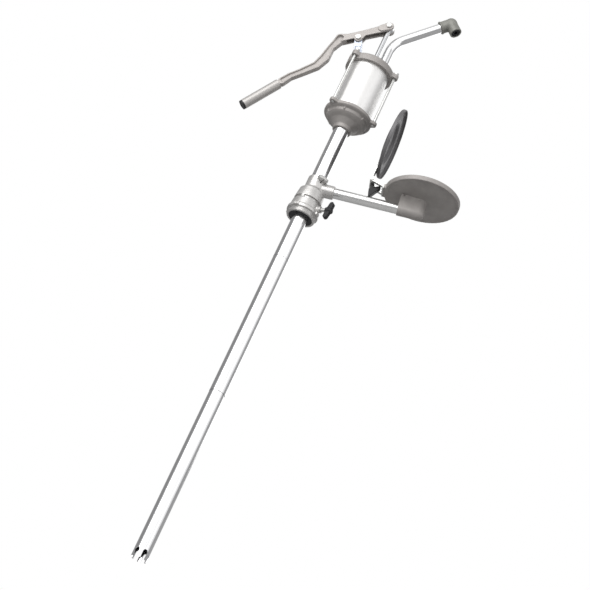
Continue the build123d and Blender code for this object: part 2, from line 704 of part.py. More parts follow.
def lid_stop():
    """Moulded stop on the hinge knuckle that rests on the arm when the lid is open."""
    tip_x, tip_r = STOP_TIP
    tip_h = ARM_R + PART_GAP + tip_r
    circles = Pos(*STOP_BACK) * Circle(STOP_CORNER_R) + Pos(*STOP_FRONT) * Circle(STOP_CORNER_R)
    circles = circles + Pos(tip_x, tip_h) * Circle(tip_r)
    neck = capsule((HINGE_X, HINGE_H), STOP_NECK_R, STOP_NECK_FOOT, STOP_NECK_R)
    wedge = slab_xz(make_hull(circles.edges()) + neck, -STOP_HALF_WIDTH, STOP_HALF_WIDTH)
    knuckle = rod_y(HINGE_KNUCKLE_R, -HINGE_HALF_WIDTH, HINGE_HALF_WIDTH, HINGE_X, HINGE_H)
    return tilted(wedge - knuckle)


# ---- pump head ----
def rod_places():
    """Centres of the three tie rods."""
    angles = [math.radians(360 * number / EAR_COUNT) for number in range(EAR_COUNT)]
    return [(ROD_CIRCLE_R * math.cos(angle), ROD_CIRCLE_R * math.sin(angle)) for angle in angles]


def ears(z_low, z_high):
    outline = capsule((CAP_R - EAR_ROOT_R, 0), EAR_ROOT_R, (ROD_CIRCLE_R, 0), EAR_R)
    ear = extrude(Pos(0, 0, z_low) * outline, z_high - z_low)
    return around_z(ear, EAR_COUNT)


def tie_rod_holes(z_low, z_high):
    return [rod_z(TIE_ROD_R + SCREW_SLACK, z_low - 1, z_high + 1, x, y) for x, y in rod_places()]


def lower_cap():
    body = revolved([
        (0, LOWER_CAP_BOTTOM_Z),
        (LOWER_CAP_NECK_R - 1, LOWER_CAP_BOTTOM_Z),
        (LOWER_CAP_NECK_R, LOWER_CAP_BOTTOM_Z + 1),
        (LOWER_CAP_NECK_R + 1, LOWER_CAP_BOTTOM_Z + 8),
        (31.0, LOWER_FLANGE_Z - 16.5),
        (38.5, LOWER_FLANGE_Z - 13.0),
        (42.5, LOWER_FLANGE_Z - 10.0),
        (44.5, LOWER_FLANGE_Z - 4.0),
        (CAP_R - 2.5, LOWER_FLANGE_Z - 2.0),
        (CAP_R, LOWER_FLANGE_Z),
        (CAP_R, LOWER_CAP_TOP_Z),
        (0, LOWER_CAP_TOP_Z),
    ])
    ear_z = LOWER_CAP_TOP_Z - LOWER_EAR_THICKNESS
    rib = block(
        RIB_INNER_R, RIB_OUTER_R, -RIB_HALF_THICKNESS, RIB_HALF_THICKNESS,
        LOWER_FLANGE_Z - 9.0, LOWER_FLANGE_Z + 1,
    )
    body = join([body] + ears(ear_z, LOWER_CAP_TOP_Z) + around_z(rib, 2 * EAR_COUNT, 30.0))
    tapped = [rod_z(TIE_ROD_R, ear_z - 1, LOWER_CAP_TOP_Z + 1, x, y) for x, y in rod_places()]
    return cut(body, tapped + [
        rod_z(TUBE_R, LOWER_CAP_BOTTOM_Z - 1, TUBE_SEAT_Z),
        rod_z(TUBE_R - TUBE_WALL, TUBE_SEAT_Z - 1, VALVE_SEAT_Z),
        rod_z(VALVE_SEAT_R, VALVE_SEAT_Z, LOWER_CAP_TOP_Z),
        rod_z(CAVITY_R, CYLINDER_SEAT_LOW_Z - 5, LOWER_CAP_TOP_Z),
        rod_z(CYLINDER_R, CYLINDER_SEAT_LOW_Z, LOWER_CAP_TOP_Z + 1),
    ])


def inlet_seat():
    return ring_z(VALVE_SEAT_R, VALVE_SEAT_BORE_R, VALVE_SEAT_Z, VALVE_SEAT_Z + VALVE_SEAT_HEIGHT)


def inlet_disc():
    bottom = VALVE_SEAT_Z + VALVE_SEAT_HEIGHT
    disc = rod_z(INLET_DISC_R, bottom, bottom + INLET_DISC_THICKNESS)
    return chamfer(disc.edges().group_by(Axis.Z)[-1], 0.6)


def inlet_cage():
    bottom = VALVE_SEAT_Z + VALVE_SEAT_HEIGHT
    ceiling = bottom + INLET_DISC_THICKNESS + INLET_LIFT
    top = ceiling + CAGE_TOP_THICKNESS
    shell = ring_z(VALVE_SEAT_R, VALVE_SEAT_R - CAGE_WALL, bottom, top)
    half = CAGE_RIB_WIDTH / 2
    inner = VALVE_SEAT_R - 1
    cross = block(-inner, inner, -half, half, ceiling, top) + block(-half, half, -inner, inner, ceiling, top)
    window = block(10, VALVE_SEAT_R + 1, -5, 5, bottom + INLET_DISC_THICKNESS, ceiling - 0.5)
    return cut(shell + cross, around_z(window, 4, 45.0))


def gasket_lower():
    low = CYLINDER_SEAT_LOW_Z
    return ring_z(CYLINDER_R, CYLINDER_BORE_R, low, low + GASKET_THICKNESS)


def gasket_upper():
    high = CYLINDER_SEAT_HIGH_Z
    return ring_z(CYLINDER_R, CYLINDER_BORE_R, high - GASKET_THICKNESS, high)


def cylinder():
    low = CYLINDER_SEAT_LOW_Z + GASKET_THICKNESS
    high = CYLINDER_SEAT_HIGH_Z - GASKET_THICKNESS
    return ring_z(CYLINDER_R, CYLINDER_BORE_R, low, high)


def link_lug(y_low, y_high):
    """Lug on the upper cap, slotted for the link's lower pin."""
    foot_x, foot_z = LINK_FOOT
    far_x = foot_x - FOOT_PLAY_OUT
    outline = capsule((foot_x, foot_z), LUG_R, (far_x, foot_z), LUG_R)
    plate = slab_xz(outline, y_low, y_high)
    root = block(far_x - LUG_R, foot_x + LUG_R, y_low, y_high, UPPER_CAP_TOP_Z - 5, foot_z)
    low_z = foot_z - FOOT_PLAY_DOWN
    slot_r = PIN_R + PART_GAP
    slot = capsule((foot_x, foot_z), slot_r, (far_x, foot_z), slot_r)
    slot = slot + capsule((foot_x, low_z), slot_r, (far_x, low_z), slot_r)
    slot = slot + Pos((foot_x + far_x) / 2, foot_z - FOOT_PLAY_DOWN / 2) * Rectangle(
        FOOT_PLAY_OUT + 2 * slot_r, FOOT_PLAY_DOWN
    )
    return plate + root - slab_xz(slot, y_low - 1, y_high + 1)


def upper_cap():
    body = revolved([
        (0, UPPER_CAP_BOTTOM_Z),
        (CAP_R, UPPER_CAP_BOTTOM_Z),
        (CAP_R, UPPER_CAP_RIM_Z),
        (CAP_R - 3.0, UPPER_CAP_RIM_Z + 3.0),
        (32.0, UPPER_CAP_TOP_Z),
        (0, UPPER_CAP_TOP_Z),
    ])
    ear_low = UPPER_CAP_RIM_Z - EAR_THICKNESS
    lug_y = LINK_HALF_WIDTH + PART_GAP
    boss = rod_z(GLAND_BOSS_R, UPPER_CAP_TOP_Z - 2, BOSS_TOP_Z)
    boss = boss + rod_z(SPOUT_BOSS_R, UPPER_CAP_TOP_Z - 2, BOSS_TOP_Z, SPOUT_X)
    body = join([body] + ears(ear_low, UPPER_CAP_RIM_Z) + [
        boss,
        link_lug(lug_y, lug_y + LUG_THICKNESS),
        link_lug(-lug_y - LUG_THICKNESS, -lug_y),
    ])
    face_r = TIE_WASHER_R + SCREW_SLACK
    spot_faces = [rod_z(face_r, UPPER_CAP_RIM_Z, UPPER_CAP_TOP_Z + 1, x, y) for x, y in rod_places()]
    return cut(body, tie_rod_holes(ear_low, UPPER_CAP_RIM_Z) + spot_faces + [
        rod_z(CYLINDER_R, UPPER_CAP_BOTTOM_Z - 1, CYLINDER_SEAT_HIGH_Z),
        rod_z(CAVITY_R, UPPER_CAP_BOTTOM_Z, UPPER_CAVITY_TOP_Z),
        rod_z(ROD_R + SCREW_SLACK, UPPER_CAVITY_TOP_Z - 1, BUSH_Z),
        rod_z(PACKING_R, BUSH_Z, BOSS_TOP_Z + 1),
        rod_z(SPOUT_R - SPOUT_WALL, UPPER_CAVITY_TOP_Z - 1, SPOUT_SEAT_Z, SPOUT_X),
        rod_z(SPOUT_R + RUN_FIT, SPOUT_SEAT_Z, BOSS_TOP_Z + 1, SPOUT_X),
        rod_z(SPOUT_SEAL_R, SPOUT_SEAL_Z, SPOUT_SEAL_Z + SPOUT_SEAL_HEIGHT, SPOUT_X),
        rod_x(GRUB_R, SPOUT_X, SPOUT_X + SPOUT_BOSS_R + 1, 0, SPOUT_GROOVE_Z + SPOUT_GROOVE_HEIGHT / 2),
    ])


def tie_rods():
    low = LOWER_CAP_TOP_Z - LOWER_EAR_THICKNESS - 0.8
    high = UPPER_CAP_RIM_Z + TIE_WASHER_THICKNESS + TIE_NUT_HEIGHT + 1.5
    return Compound([rod_z(TIE_ROD_R, low, high, x, y) for x, y in rod_places()])


def tie_rod_washers():
    low = UPPER_CAP_RIM_Z
    high = low + TIE_WASHER_THICKNESS
    return Compound([ring_z(TIE_WASHER_R, TIE_ROD_R, low, high, x, y) for x, y in rod_places()])


def tie_rod_nuts():
    low = UPPER_CAP_RIM_Z + TIE_WASHER_THICKNESS
    high = low + TIE_NUT_HEIGHT
    return Compound([hexagon_z(TIE_NUT_FLATS, low, high, x, y, TIE_ROD_R) for x, y in rod_places()])


def rod_bush():
    return ring_z(PACKING_R, ROD_R + RUN_FIT, BUSH_Z, BUSH_Z + BUSH_HEIGHT)


def gland_packing():
    low = BUSH_Z + BUSH_HEIGHT
    return ring_z(PACKING_R, ROD_R + RUN_FIT, low, low + PACKING_HEIGHT)


def gland_nut():
    low = BUSH_Z + BUSH_HEIGHT + PACKING_HEIGHT
    nut = rod_z(PACKING_R, low, BOSS_TOP_Z) + hexagon_z(GLAND_FLATS, BOSS_TOP_Z, BOSS_TOP_Z + GLAND_HEX_HEIGHT)
    return nut - rod_z(ROD_R + SCREW_SLACK, low - 1, BOSS_TOP_Z + GLAND_HEX_HEIGHT + 1)


# ---- piston ----
def piston_rod():
    eye = slab_xz(Pos(0, PIN_Z) * Circle(ROD_EYE_R), -ROD_EYE_HALF_WIDTH, ROD_EYE_HALF_WIDTH)
    rod = rod_z(ROD_R, PISTON_BASE_TOP_Z, PIN_Z - ROD_EYE_R * 0.6)
    rod = rod + rod_z(ROD_THREAD_R, ROD_BOTTOM_Z, PISTON_BASE_TOP_Z) + eye
    return rod - rod_y(PIN_R + RUN_FIT, -ROD_EYE_R, ROD_EYE_R, 0, PIN_Z)


def port_holes(z_low, z_high):
    hole = rod_z(PISTON_PORT_R, z_low - 1, z_high + 1, PISTON_PORT_CIRCLE_R)
    return around_z(hole, PISTON_PORT_COUNT)


def retainer_screw_holes(z_low, z_high, radius):
    middle_r = (RETAINER_INNER_R + PISTON_HUB_R) / 2
    hole = rod_z(radius, z_low, z_high, middle_r)
    return around_z(hole, RETAINER_SCREW_COUNT, 45.0)


def piston_body():
    base = rod_z(CYLINDER_BORE_R - PISTON_SLACK, PISTON_BOTTOM_Z, PISTON_BASE_TOP_Z)
    body = base + rod_z(PISTON_HUB_R, PISTON_BASE_TOP_Z, PISTON_TOP_Z)
    body = body - rod_z(ROD_THREAD_R, PISTON_BOTTOM_Z - 1, PISTON_BASE_TOP_Z)
    body = body - rod_z(ROD_R, PISTON_BASE_TOP_Z, PISTON_TOP_Z + 1)
    screw_low = PISTON_TOP_Z - 7
    holes = port_holes(PISTON_BOTTOM_Z, PISTON_TOP_Z)
    return cut(body, holes + retainer_screw_holes(screw_low, PISTON_TOP_Z + 1, RETAINER_SCREW_R))


def piston_cup():
    cup = ring_z(CYLINDER_BORE_R - RUN_FIT, PISTON_HUB_R, PISTON_BASE_TOP_Z, PISTON_TOP_Z)
    groove = ring_z(CYLINDER_BORE_R - 2.0, PISTON_HUB_R + 3.0, PISTON_TOP_Z - 6.0, PISTON_TOP_Z + 1)
    return cup - groove


def piston_retainer():
    top = PISTON_TOP_Z + RETAINER_THICKNESS
    plate = ring_z(RETAINER_OUTER_R, RETAINER_INNER_R, PISTON_TOP_Z, top)
    return cut(plate, retainer_screw_holes(PISTON_TOP_Z - 1, top + 1, RETAINER_SCREW_R))


def retainer_screws():
    top = PISTON_TOP_Z + RETAINER_THICKNESS
    shanks = retainer_screw_holes(PISTON_TOP_Z - 6, top, RETAINER_SCREW_R)
    heads = retainer_screw_holes(top, top + 1.5, RETAINER_SCREW_R + 1.1)
    return Compound([shank + head for shank, head in zip(shanks, heads)])


def piston_valve():
    return ring_z(PISTON_VALVE_R, ROD_R + RUN_FIT, PISTON_TOP_Z, PISTON_TOP_Z + PISTON_VALVE_THICKNESS)


def lift_stop():
    low = PISTON_TOP_Z + PISTON_VALVE_THICKNESS + PISTON_VALVE_LIFT + PART_GAP
    return ring_z(LIFT_STOP_R, ROD_R, low, low + LIFT_STOP_THICKNESS)


def piston_nut():
    return hexagon_z(PISTON_NUT_FLATS, PISTON_BOTTOM_Z - PISTON_NUT_HEIGHT, PISTON_BOTTOM_Z, bore=ROD_THREAD_R)


# ---- lever and link ----
def lever_stations():
    return [
        ((0, PIN_Z), PIN_END_R),
        (LEVER_ARM_MIDDLE, ARM_MIDDLE_R),
        (LEVER_SHOULDER, SHOULDER_R),
        (LEVER_BEND, BEND_R),
    ]


def along_grip(distance):
    """Point on the grip's centre line, measured from the grip's start."""
    share = distance / GRIP_LENGTH
    x = GRIP_START[0] + share * (GRIP_END[0] - GRIP_START[0])
    z = GRIP_START[1] + share * (GRIP_END[1] - GRIP_START[1])
    return (x, z)


def shank_stations():
    return [
        (LEVER_BEND, BEND_R),
        (LEVER_WAIST, WAIST_R),
        (LEVER_HEEL, HEEL_R),
        (LEVER_KNEE, KNEE_R),
        (LEVER_CALF, CALF_R),
        (LEVER_ANKLE, ANKLE_R),
        (along_grip(-TANG_ROOT_R), TANG_ROOT_R),
    ]


def inset(stations, amount):
    return [(place, radius - amount) for place, radius in stations]


def grip_frame(shape):
    """Place a shape made along +Z at the grip's start, pointing to the grip's end."""
    run = GRIP_END[0] - GRIP_START[0]
    rise = GRIP_END[1] - GRIP_START[1]
    turn = math.degrees(math.atan2(run, rise))
    return Pos(GRIP_START[0], 0, GRIP_START[1]) * Rot(0, turn, 0) * shape


def channel_cut():
    """Hollow of the lever's upper arm, open along its lower side and at the pin end."""
    stations = inset(lever_stations()[:3], CHANNEL_ROOF)
    arm_angle = math.atan2(LEVER_ARM_MIDDLE[1] - PIN_Z, LEVER_ARM_MIDDLE[0])
    down = (-math.sin(arm_angle) * CHANNEL_REACH, math.cos(arm_angle) * CHANNEL_REACH)
    outline = limb(stations)
    for (start, start_r), (end, end_r) in zip(stations, stations[1:]):
        lowered_start = (start[0] + down[0], start[1] + down[1])
        lowered_end = (end[0] + down[0], end[1] + down[1])
        outline = outline + make_hull((
            Pos(*start) * Circle(start_r) + Pos(*end) * Circle(end_r)
            + Pos(*lowered_start) * Circle(start_r) + Pos(*lowered_end) * Circle(end_r)
        ).edges())
    outline = outline + Pos(0, PIN_Z) * Circle(ROD_EYE_R + EYE_ROOM)
    return slab_xz(outline, -CHANNEL_GAP_HALF_WIDTH, CHANNEL_GAP_HALF_WIDTH)


def lever():
    outline = limb(lever_stations()) + capsule(LEVER_ARM_MIDDLE, ARM_MIDDLE_R, FULCRUM, FULCRUM_R)
    upper = slab_xz(outline, -CHANNEL_HALF_WIDTH, CHANNEL_HALF_WIDTH)
    pad = capsule((0, PIN_Z), FORK_END_R, (FORK_PAD_X, PIN_Z - FORK_PAD_DROP), FORK_PAD_R)
    fork = slab_xz(pad, -FORK_HALF_WIDTH, FORK_HALF_WIDTH)
    shank = slab_xz(limb(shank_stations()), -SHANK_HALF_WIDTH, SHANK_HALF_WIDTH)
    pocket_stations = inset(shank_stations(), SHANK_FLANGE)
    pocket = limb(pocket_stations)
    body = upper + fork + shank - channel_cut()
    body = body - slab_xz(pocket, SHANK_WEB_HALF, CHANNEL_HALF_WIDTH + 1)
    body = body - slab_xz(pocket, -CHANNEL_HALF_WIDTH - 1, -SHANK_WEB_HALF)
    body = body + grip_frame(rod_z(TANG_R, -TANG_ROOT_R, GRIP_LENGTH - GRIP_PLUG_THICKNESS))
    for x, z in ((0, PIN_Z), FULCRUM):
        body = body - rod_y(PIN_R, -FORK_HALF_WIDTH - 1, FORK_HALF_WIDTH + 1, x, z)
    return body


def lever_grip():
    return grip_frame(ring_z(GRIP_R, TANG_R, 0, GRIP_LENGTH - GRIP_PLUG_THICKNESS))


def grip_plug():
    plug = rod_z(GRIP_R - 0.4, GRIP_LENGTH - GRIP_PLUG_THICKNESS, GRIP_LENGTH)
    return grip_frame(plug)


def link():
    top = FULCRUM
    foot = LINK_FOOT
    outline = capsule(top, LINK_R, foot, LINK_R)
    body = slab_xz(outline, -LINK_HALF_WIDTH, LINK_HALF_WIDTH)
    middle = ((top[0] + foot[0]) / 2, (top[1] + foot[1]) / 2)
    lean = math.degrees(math.atan2(top[1] - foot[1], top[0] - foot[0])) - 90
    window = Pos(*middle) * Rot(0, 0, lean) * Rectangle(LINK_R * 1.35, LINK_POCKET_LENGTH)
    face = LINK_HALF_WIDTH - LINK_POCKET_DEPTH
    return cut(body, [
        slab_xz(window, face, LINK_HALF_WIDTH + 1),
        slab_xz(window, -LINK_HALF_WIDTH - 1, -face),
        rod_y(PIN_R + RUN_FIT, -LINK_R, LINK_R, *top),
        rod_y(PIN_R, -LINK_R, LINK_R, *foot),
    ])


def link_foot_pin():
    half = LINK_HALF_WIDTH + PART_GAP + LUG_THICKNESS - 0.3
    return rod_y(PIN_R, -half, half, *LINK_FOOT)


def head_y(y_low, y_high, x, z):
    """Hexagonal bolt head or nut along Y."""
    nut = hexagon_z(PIN_HEAD_FLATS, 0, y_high - y_low)
    return Pos(x, y_high, z) * Rot(90, 0, 0) * nut


def pivot_bolt(half_width, x, z):
    bolt = rod_y(PIN_R, -half_width, half_width + PIN_HEAD_HEIGHT + 1.5, x, z)
    return bolt + head_y(-half_width - PIN_HEAD_HEIGHT, -half_width, x, z)


def pivot_nut(half_width, x, z):
    nut = head_y(half_width, half_width + PIN_HEAD_HEIGHT, x, z)
    return nut - rod_y(PIN_R, half_width - 1, half_width + PIN_HEAD_HEIGHT + 1, x, z)


def pin_bolt():
    return pivot_bolt(FORK_HALF_WIDTH, 0, PIN_Z)


def pin_nut():
    return pivot_nut(FORK_HALF_WIDTH, 0, PIN_Z)


def fulcrum_bolt():
    return pivot_bolt(CHANNEL_HALF_WIDTH, *FULCRUM)


def fulcrum_nut():
    return pivot_nut(CHANNEL_HALF_WIDTH, *FULCRUM)


# ---- spout ----
def along_spout(distance, across=0.0):
    """Point on the sloping run: distance from the knee, and across it, down and outwards."""
    angle = math.radians(SPOUT_SLOPE)
    x = SPOUT_X + distance * math.cos(angle) + across * math.sin(angle)
    z = SPOUT_KNEE_Z + distance * math.sin(angle) - across * math.cos(angle)
    return (x, z)


def spout_path():
    start = (SPOUT_X, SPOUT_SEAT_Z + 0.5)
    knee = (SPOUT_X, SPOUT_KNEE_Z)
    end = along_spout(SPOUT_REACH - ELBOW_BEND_R)
    return Plane.XZ * FilletPolyline(start, knee, end, radius=SPOUT_BEND_R)


def spout_tube():
    start = Plane(origin=(SPOUT_X, 0, SPOUT_SEAT_Z + 0.5), z_dir=(0, 0, 1))
    section = start * (Circle(SPOUT_R) - Circle(SPOUT_R - SPOUT_WALL))
    tube = sweep(section, path=spout_path())
    groove_r = SPOUT_R - SPOUT_GROOVE_DEPTH
    groove_top = SPOUT_GROOVE_Z + SPOUT_GROOVE_HEIGHT
    return tube - ring_z(SPOUT_R + 1, groove_r, SPOUT_GROOVE_Z, groove_top, SPOUT_X)


def spout_seal():
    top = SPOUT_SEAL_Z + SPOUT_SEAL_HEIGHT
    return ring_z(SPOUT_SEAL_R, SPOUT_R + RUN_FIT, SPOUT_SEAL_Z, top, SPOUT_X)


def spout_grub_screw():
    z = SPOUT_GROOVE_Z + SPOUT_GROOVE_HEIGHT / 2
    body_start = SPOUT_X + SPOUT_R + PART_GAP
    body = rod_x(GRUB_R, body_start, SPOUT_X + SPOUT_BOSS_R, 0, z)
    tip = rod_x(GRUB_TIP_R, SPOUT_X + SPOUT_R - SPOUT_GROOVE_DEPTH + PART_GAP, body_start + 0.5, 0, z)
    socket = rod_x(1.2, SPOUT_X + SPOUT_BOSS_R - 1.5, SPOUT_X + SPOUT_BOSS_R + 1, 0, z)
    return body + tip - socket


def elbow_frame(shape, down_spout=False):
    """Place a shape made along +Z at the elbow's corner.

    Its +Z points out of the outlet, or back down the spout.
    """
    x, z = along_spout(SPOUT_REACH)
    turn = -90 - SPOUT_SLOPE if down_spout else 180 - SPOUT_SLOPE
    return Pos(x, 0, z) * Rot(0, turn, 0) * shape


def elbow_bar(radius):
    """Round bar bent through the elbow, from the socket's mouth to the outlet."""
    mouth = along_spout(SPOUT_REACH - ELBOW_SOCKET)
    outlet = along_spout(SPOUT_REACH, OUTLET_LENGTH)
    path = Plane.XZ * FilletPolyline(mouth, along_spout(SPOUT_REACH), outlet, radius=ELBOW_BEND_R)
    section = Plane(origin=path @ 0, z_dir=path % 0) * Circle(radius)
    return sweep(section, path=path)


def spout_elbow():
    collar = rod_z(ELBOW_COLLAR_R, ELBOW_SOCKET - ELBOW_COLLAR_LENGTH, ELBOW_SOCKET)
    inlet_leg = rod_z(ELBOW_R, 0, ELBOW_SOCKET)
    outlet_leg = rod_z(ELBOW_R, 0, OUTLET_LENGTH)
    body = elbow_frame(inlet_leg + collar, down_spout=True) + elbow_frame(outlet_leg) + elbow_frame(Sphere(ELBOW_BALL_R))
    nozzle_low = OUTLET_LENGTH - NOZZLE_THICKNESS - NOZZLE_RECESS
    return cut(body, [
        elbow_bar(SPOUT_R - SPOUT_WALL),
        elbow_frame(rod_z(SPOUT_R, ELBOW_BEND_R, ELBOW_SOCKET + 1), down_spout=True),
        elbow_frame(rod_z(OUTLET_BORE_R, nozzle_low, OUTLET_LENGTH + 1)),
    ])


def nozzle_insert():
    low = OUTLET_LENGTH - NOZZLE_THICKNESS - NOZZLE_RECESS
    high = OUTLET_LENGTH - NOZZLE_RECESS
    insert = ring_z(OUTLET_BORE_R, NOZZLE_HOLE_R, low, high)
    slot = rod_z(NOZZLE_SLOT_R, low - 1, high + 1, NOZZLE_SLOT_CIRCLE_R)
    return elbow_frame(cut(insert, around_z(slot, NOZZLE_SLOT_COUNT)))


NODE_MAKERS = [
    bung_ring, ring_insert, wing_screw, wing_knob,
    adapter_tee, neck_seal, clamp_screw, clamp_nut,
    drain_arm, drip_pan, pan_strainer, pan_bracket, pan_bracket_rivets, hinge_pin,
    pan_lid, lid_bracket, lid_rivets, lid_stop,
    suction_tube_upper, suction_tube_middle, suction_tube_lower, tube_nipple_upper, tube_nipple_lower,
    lower_cap, inlet_seat, inlet_disc, inlet_cage,
    gasket_lower, cylinder, gasket_upper, upper_cap,
    tie_rods, tie_rod_washers, tie_rod_nuts,
    rod_bush, gland_packing, gland_nut,
    piston_rod, piston_body, piston_cup, piston_retainer, retainer_screws, piston_valve, lift_stop, piston_nut,
    lever, lever_grip, grip_plug, pin_bolt, pin_nut, fulcrum_bolt, fulcrum_nut,
    link, link_foot_pin,
    spout_tube, spout_seal, spout_grub_screw, spout_elbow, nozzle_insert,
]

os.makedirs("parts", exist_ok=True)
for make_node in NODE_MAKERS:
    export_step(make_node(), f"parts/{make_node.__name__}.step")
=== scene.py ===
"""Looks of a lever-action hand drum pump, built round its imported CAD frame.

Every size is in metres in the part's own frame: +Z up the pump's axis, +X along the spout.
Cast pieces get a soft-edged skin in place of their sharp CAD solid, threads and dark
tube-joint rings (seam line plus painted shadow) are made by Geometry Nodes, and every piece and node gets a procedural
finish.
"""

from __future__ import annotations

import json
import logging
import math
from dataclasses import dataclass, field
from enum import Enum

import bmesh
import bpy
from mathutils import Matrix, Vector

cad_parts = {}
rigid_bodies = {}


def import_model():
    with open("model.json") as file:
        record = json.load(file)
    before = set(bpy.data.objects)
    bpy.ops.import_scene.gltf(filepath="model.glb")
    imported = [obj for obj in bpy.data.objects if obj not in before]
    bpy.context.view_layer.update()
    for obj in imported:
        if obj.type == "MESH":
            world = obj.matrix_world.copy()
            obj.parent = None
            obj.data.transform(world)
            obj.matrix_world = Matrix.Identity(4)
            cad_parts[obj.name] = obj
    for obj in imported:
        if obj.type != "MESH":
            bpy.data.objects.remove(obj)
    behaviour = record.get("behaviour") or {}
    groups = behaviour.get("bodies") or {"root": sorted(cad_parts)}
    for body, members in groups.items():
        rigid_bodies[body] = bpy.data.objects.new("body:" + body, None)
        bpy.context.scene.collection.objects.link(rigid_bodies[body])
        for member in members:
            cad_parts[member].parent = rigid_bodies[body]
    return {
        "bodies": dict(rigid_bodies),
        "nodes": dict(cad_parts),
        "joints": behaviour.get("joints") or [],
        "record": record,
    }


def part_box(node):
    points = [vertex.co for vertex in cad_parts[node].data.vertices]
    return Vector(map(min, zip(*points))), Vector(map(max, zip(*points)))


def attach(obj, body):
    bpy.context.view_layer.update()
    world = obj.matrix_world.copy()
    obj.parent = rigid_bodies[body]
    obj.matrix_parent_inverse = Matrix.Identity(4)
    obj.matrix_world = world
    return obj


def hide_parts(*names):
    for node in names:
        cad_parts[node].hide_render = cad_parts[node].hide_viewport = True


LOG = logging.getLogger("drum_pump")
MM = 0.001
Colour = tuple[float, float, float]


# ---------------------------------------------------------------- node helpers
class NodeSheet:
    """Adds and links nodes in one node tree."""

    def __init__(self, tree: bpy.types.NodeTree) -> None:
        """Keep the tree that nodes are added to."""
        self.tree = tree

    def add(self, kind: str, **settings: object) -> bpy.types.Node:
        """Add one node.

        Args:
            kind: Blender's type name of the node.
            **settings: Properties to set on it.

        Returns:
            The new node.
        """
        node = self.tree.nodes.new(kind)
        for name, value in settings.items():
            setattr(node, name, value)
        return node

    def put(self, target: bpy.types.NodeSocket, value: object) -> None:
        """Link a socket, or set a plain value, on an input socket."""
        if isinstance(value, bpy.types.NodeSocket):
            self.tree.links.new(value, target)
        else:
            target.default_value = value

    def math(self, operation: str, a: object, b: object = 0.0, clamp: bool = False) -> bpy.types.NodeSocket:
        """Add a Math node.

        Args:
            operation: Blender's name of the operation.
            a: First value or socket.
            b: Second value or socket.
            clamp: Whether the result is held between 0 and 1.

        Returns:
            The result socket.
        """
        node = self.add("ShaderNodeMath", operation=operation, use_clamp=clamp)
        self.put(node.inputs[0], a)
        self.put(node.inputs[1], b)
        return node.outputs[0]

    def spread(self, value: object, low: object, high: object, to_low: object = 0.0,
               to_high: object = 1.0) -> bpy.types.NodeSocket:
        """Map a value from one range to another, clamped.

        Args:
            value: Value to map.
            low: Start of the range it comes from.
            high: End of the range it comes from.
            to_low: Start of the range it goes to.
            to_high: End of the range it goes to.

        Returns:
            The result socket.
        """
        node = self.add("ShaderNodeMapRange")
        for name, item in zip(("Value", "From Min", "From Max", "To Min", "To Max"),
                              (value, low, high, to_low, to_high)):
            self.put(node.inputs[name], item)
        return node.outputs["Result"]

    def blend(self, factor: object, a: object, b: object) -> bpy.types.NodeSocket:
        """Mix two colours.

        Args:
            factor: Share of the second colour.
            a: First colour.
            b: Second colour.

        Returns:
            The mixed colour's socket.
        """
        node = self.add("ShaderNodeMix", data_type="RGBA")
        self.put(node.inputs["Factor"], factor)
        self.put(node.inputs["A"], a)
        self.put(node.inputs["B"], b)
        return node.outputs["Result"]

    def noise(self, vector: object, scale: object, detail: float = 3.0,
              roughness: float = 0.55) -> bpy.types.NodeSocket:
        """Add a noise texture.

        Args:
            vector: Coordinates it reads.
            scale: Its scale, in cells per metre.
            detail: Number of octaves.
            roughness: Weight of the finer octaves.

        Returns:
            Its factor socket.
        """
        node = self.add("ShaderNodeTexNoise")
        self.put(node.inputs["Vector"], vector)
        self.put(node.inputs["Scale"], scale)
        node.inputs["Detail"].default_value = detail
        node.inputs["Roughness"].default_value = roughness
        return node.outputs["Fac"]


@dataclass(frozen=True)
class GroupSockets:
    """Named sockets of a node group, as (name, socket type) pairs."""

    inputs: tuple[tuple[str, str], ...]
    outputs: tuple[tuple[str, str], ...]


FLOAT = "NodeSocketFloat"
COLOUR = "NodeSocketColor"
VECTOR = "NodeSocketVector"


def new_group(name: str, kind: str, sockets: GroupSockets) -> tuple[bpy.types.NodeTree, NodeSheet,
                                                                     bpy.types.Node, bpy.types.Node]:
    """Make an empty node group with named sockets.

    Args:
        name: Name of the group.
        kind: ShaderNodeTree or GeometryNodeTree.
        sockets: Names and types of its sockets.

    Returns:
        The tree, a sheet on it, and its input and output nodes.
    """
    tree = bpy.data.node_groups.new(name, kind)
    for direction, pairs in (("INPUT", sockets.inputs), ("OUTPUT", sockets.outputs)):
        for socket_name, socket_type in pairs:
            tree.interface.new_socket(socket_name, in_out=direction, socket_type=socket_type)
    sheet = NodeSheet(tree)
    return tree, sheet, sheet.add("NodeGroupInput"), sheet.add("NodeGroupOutput")


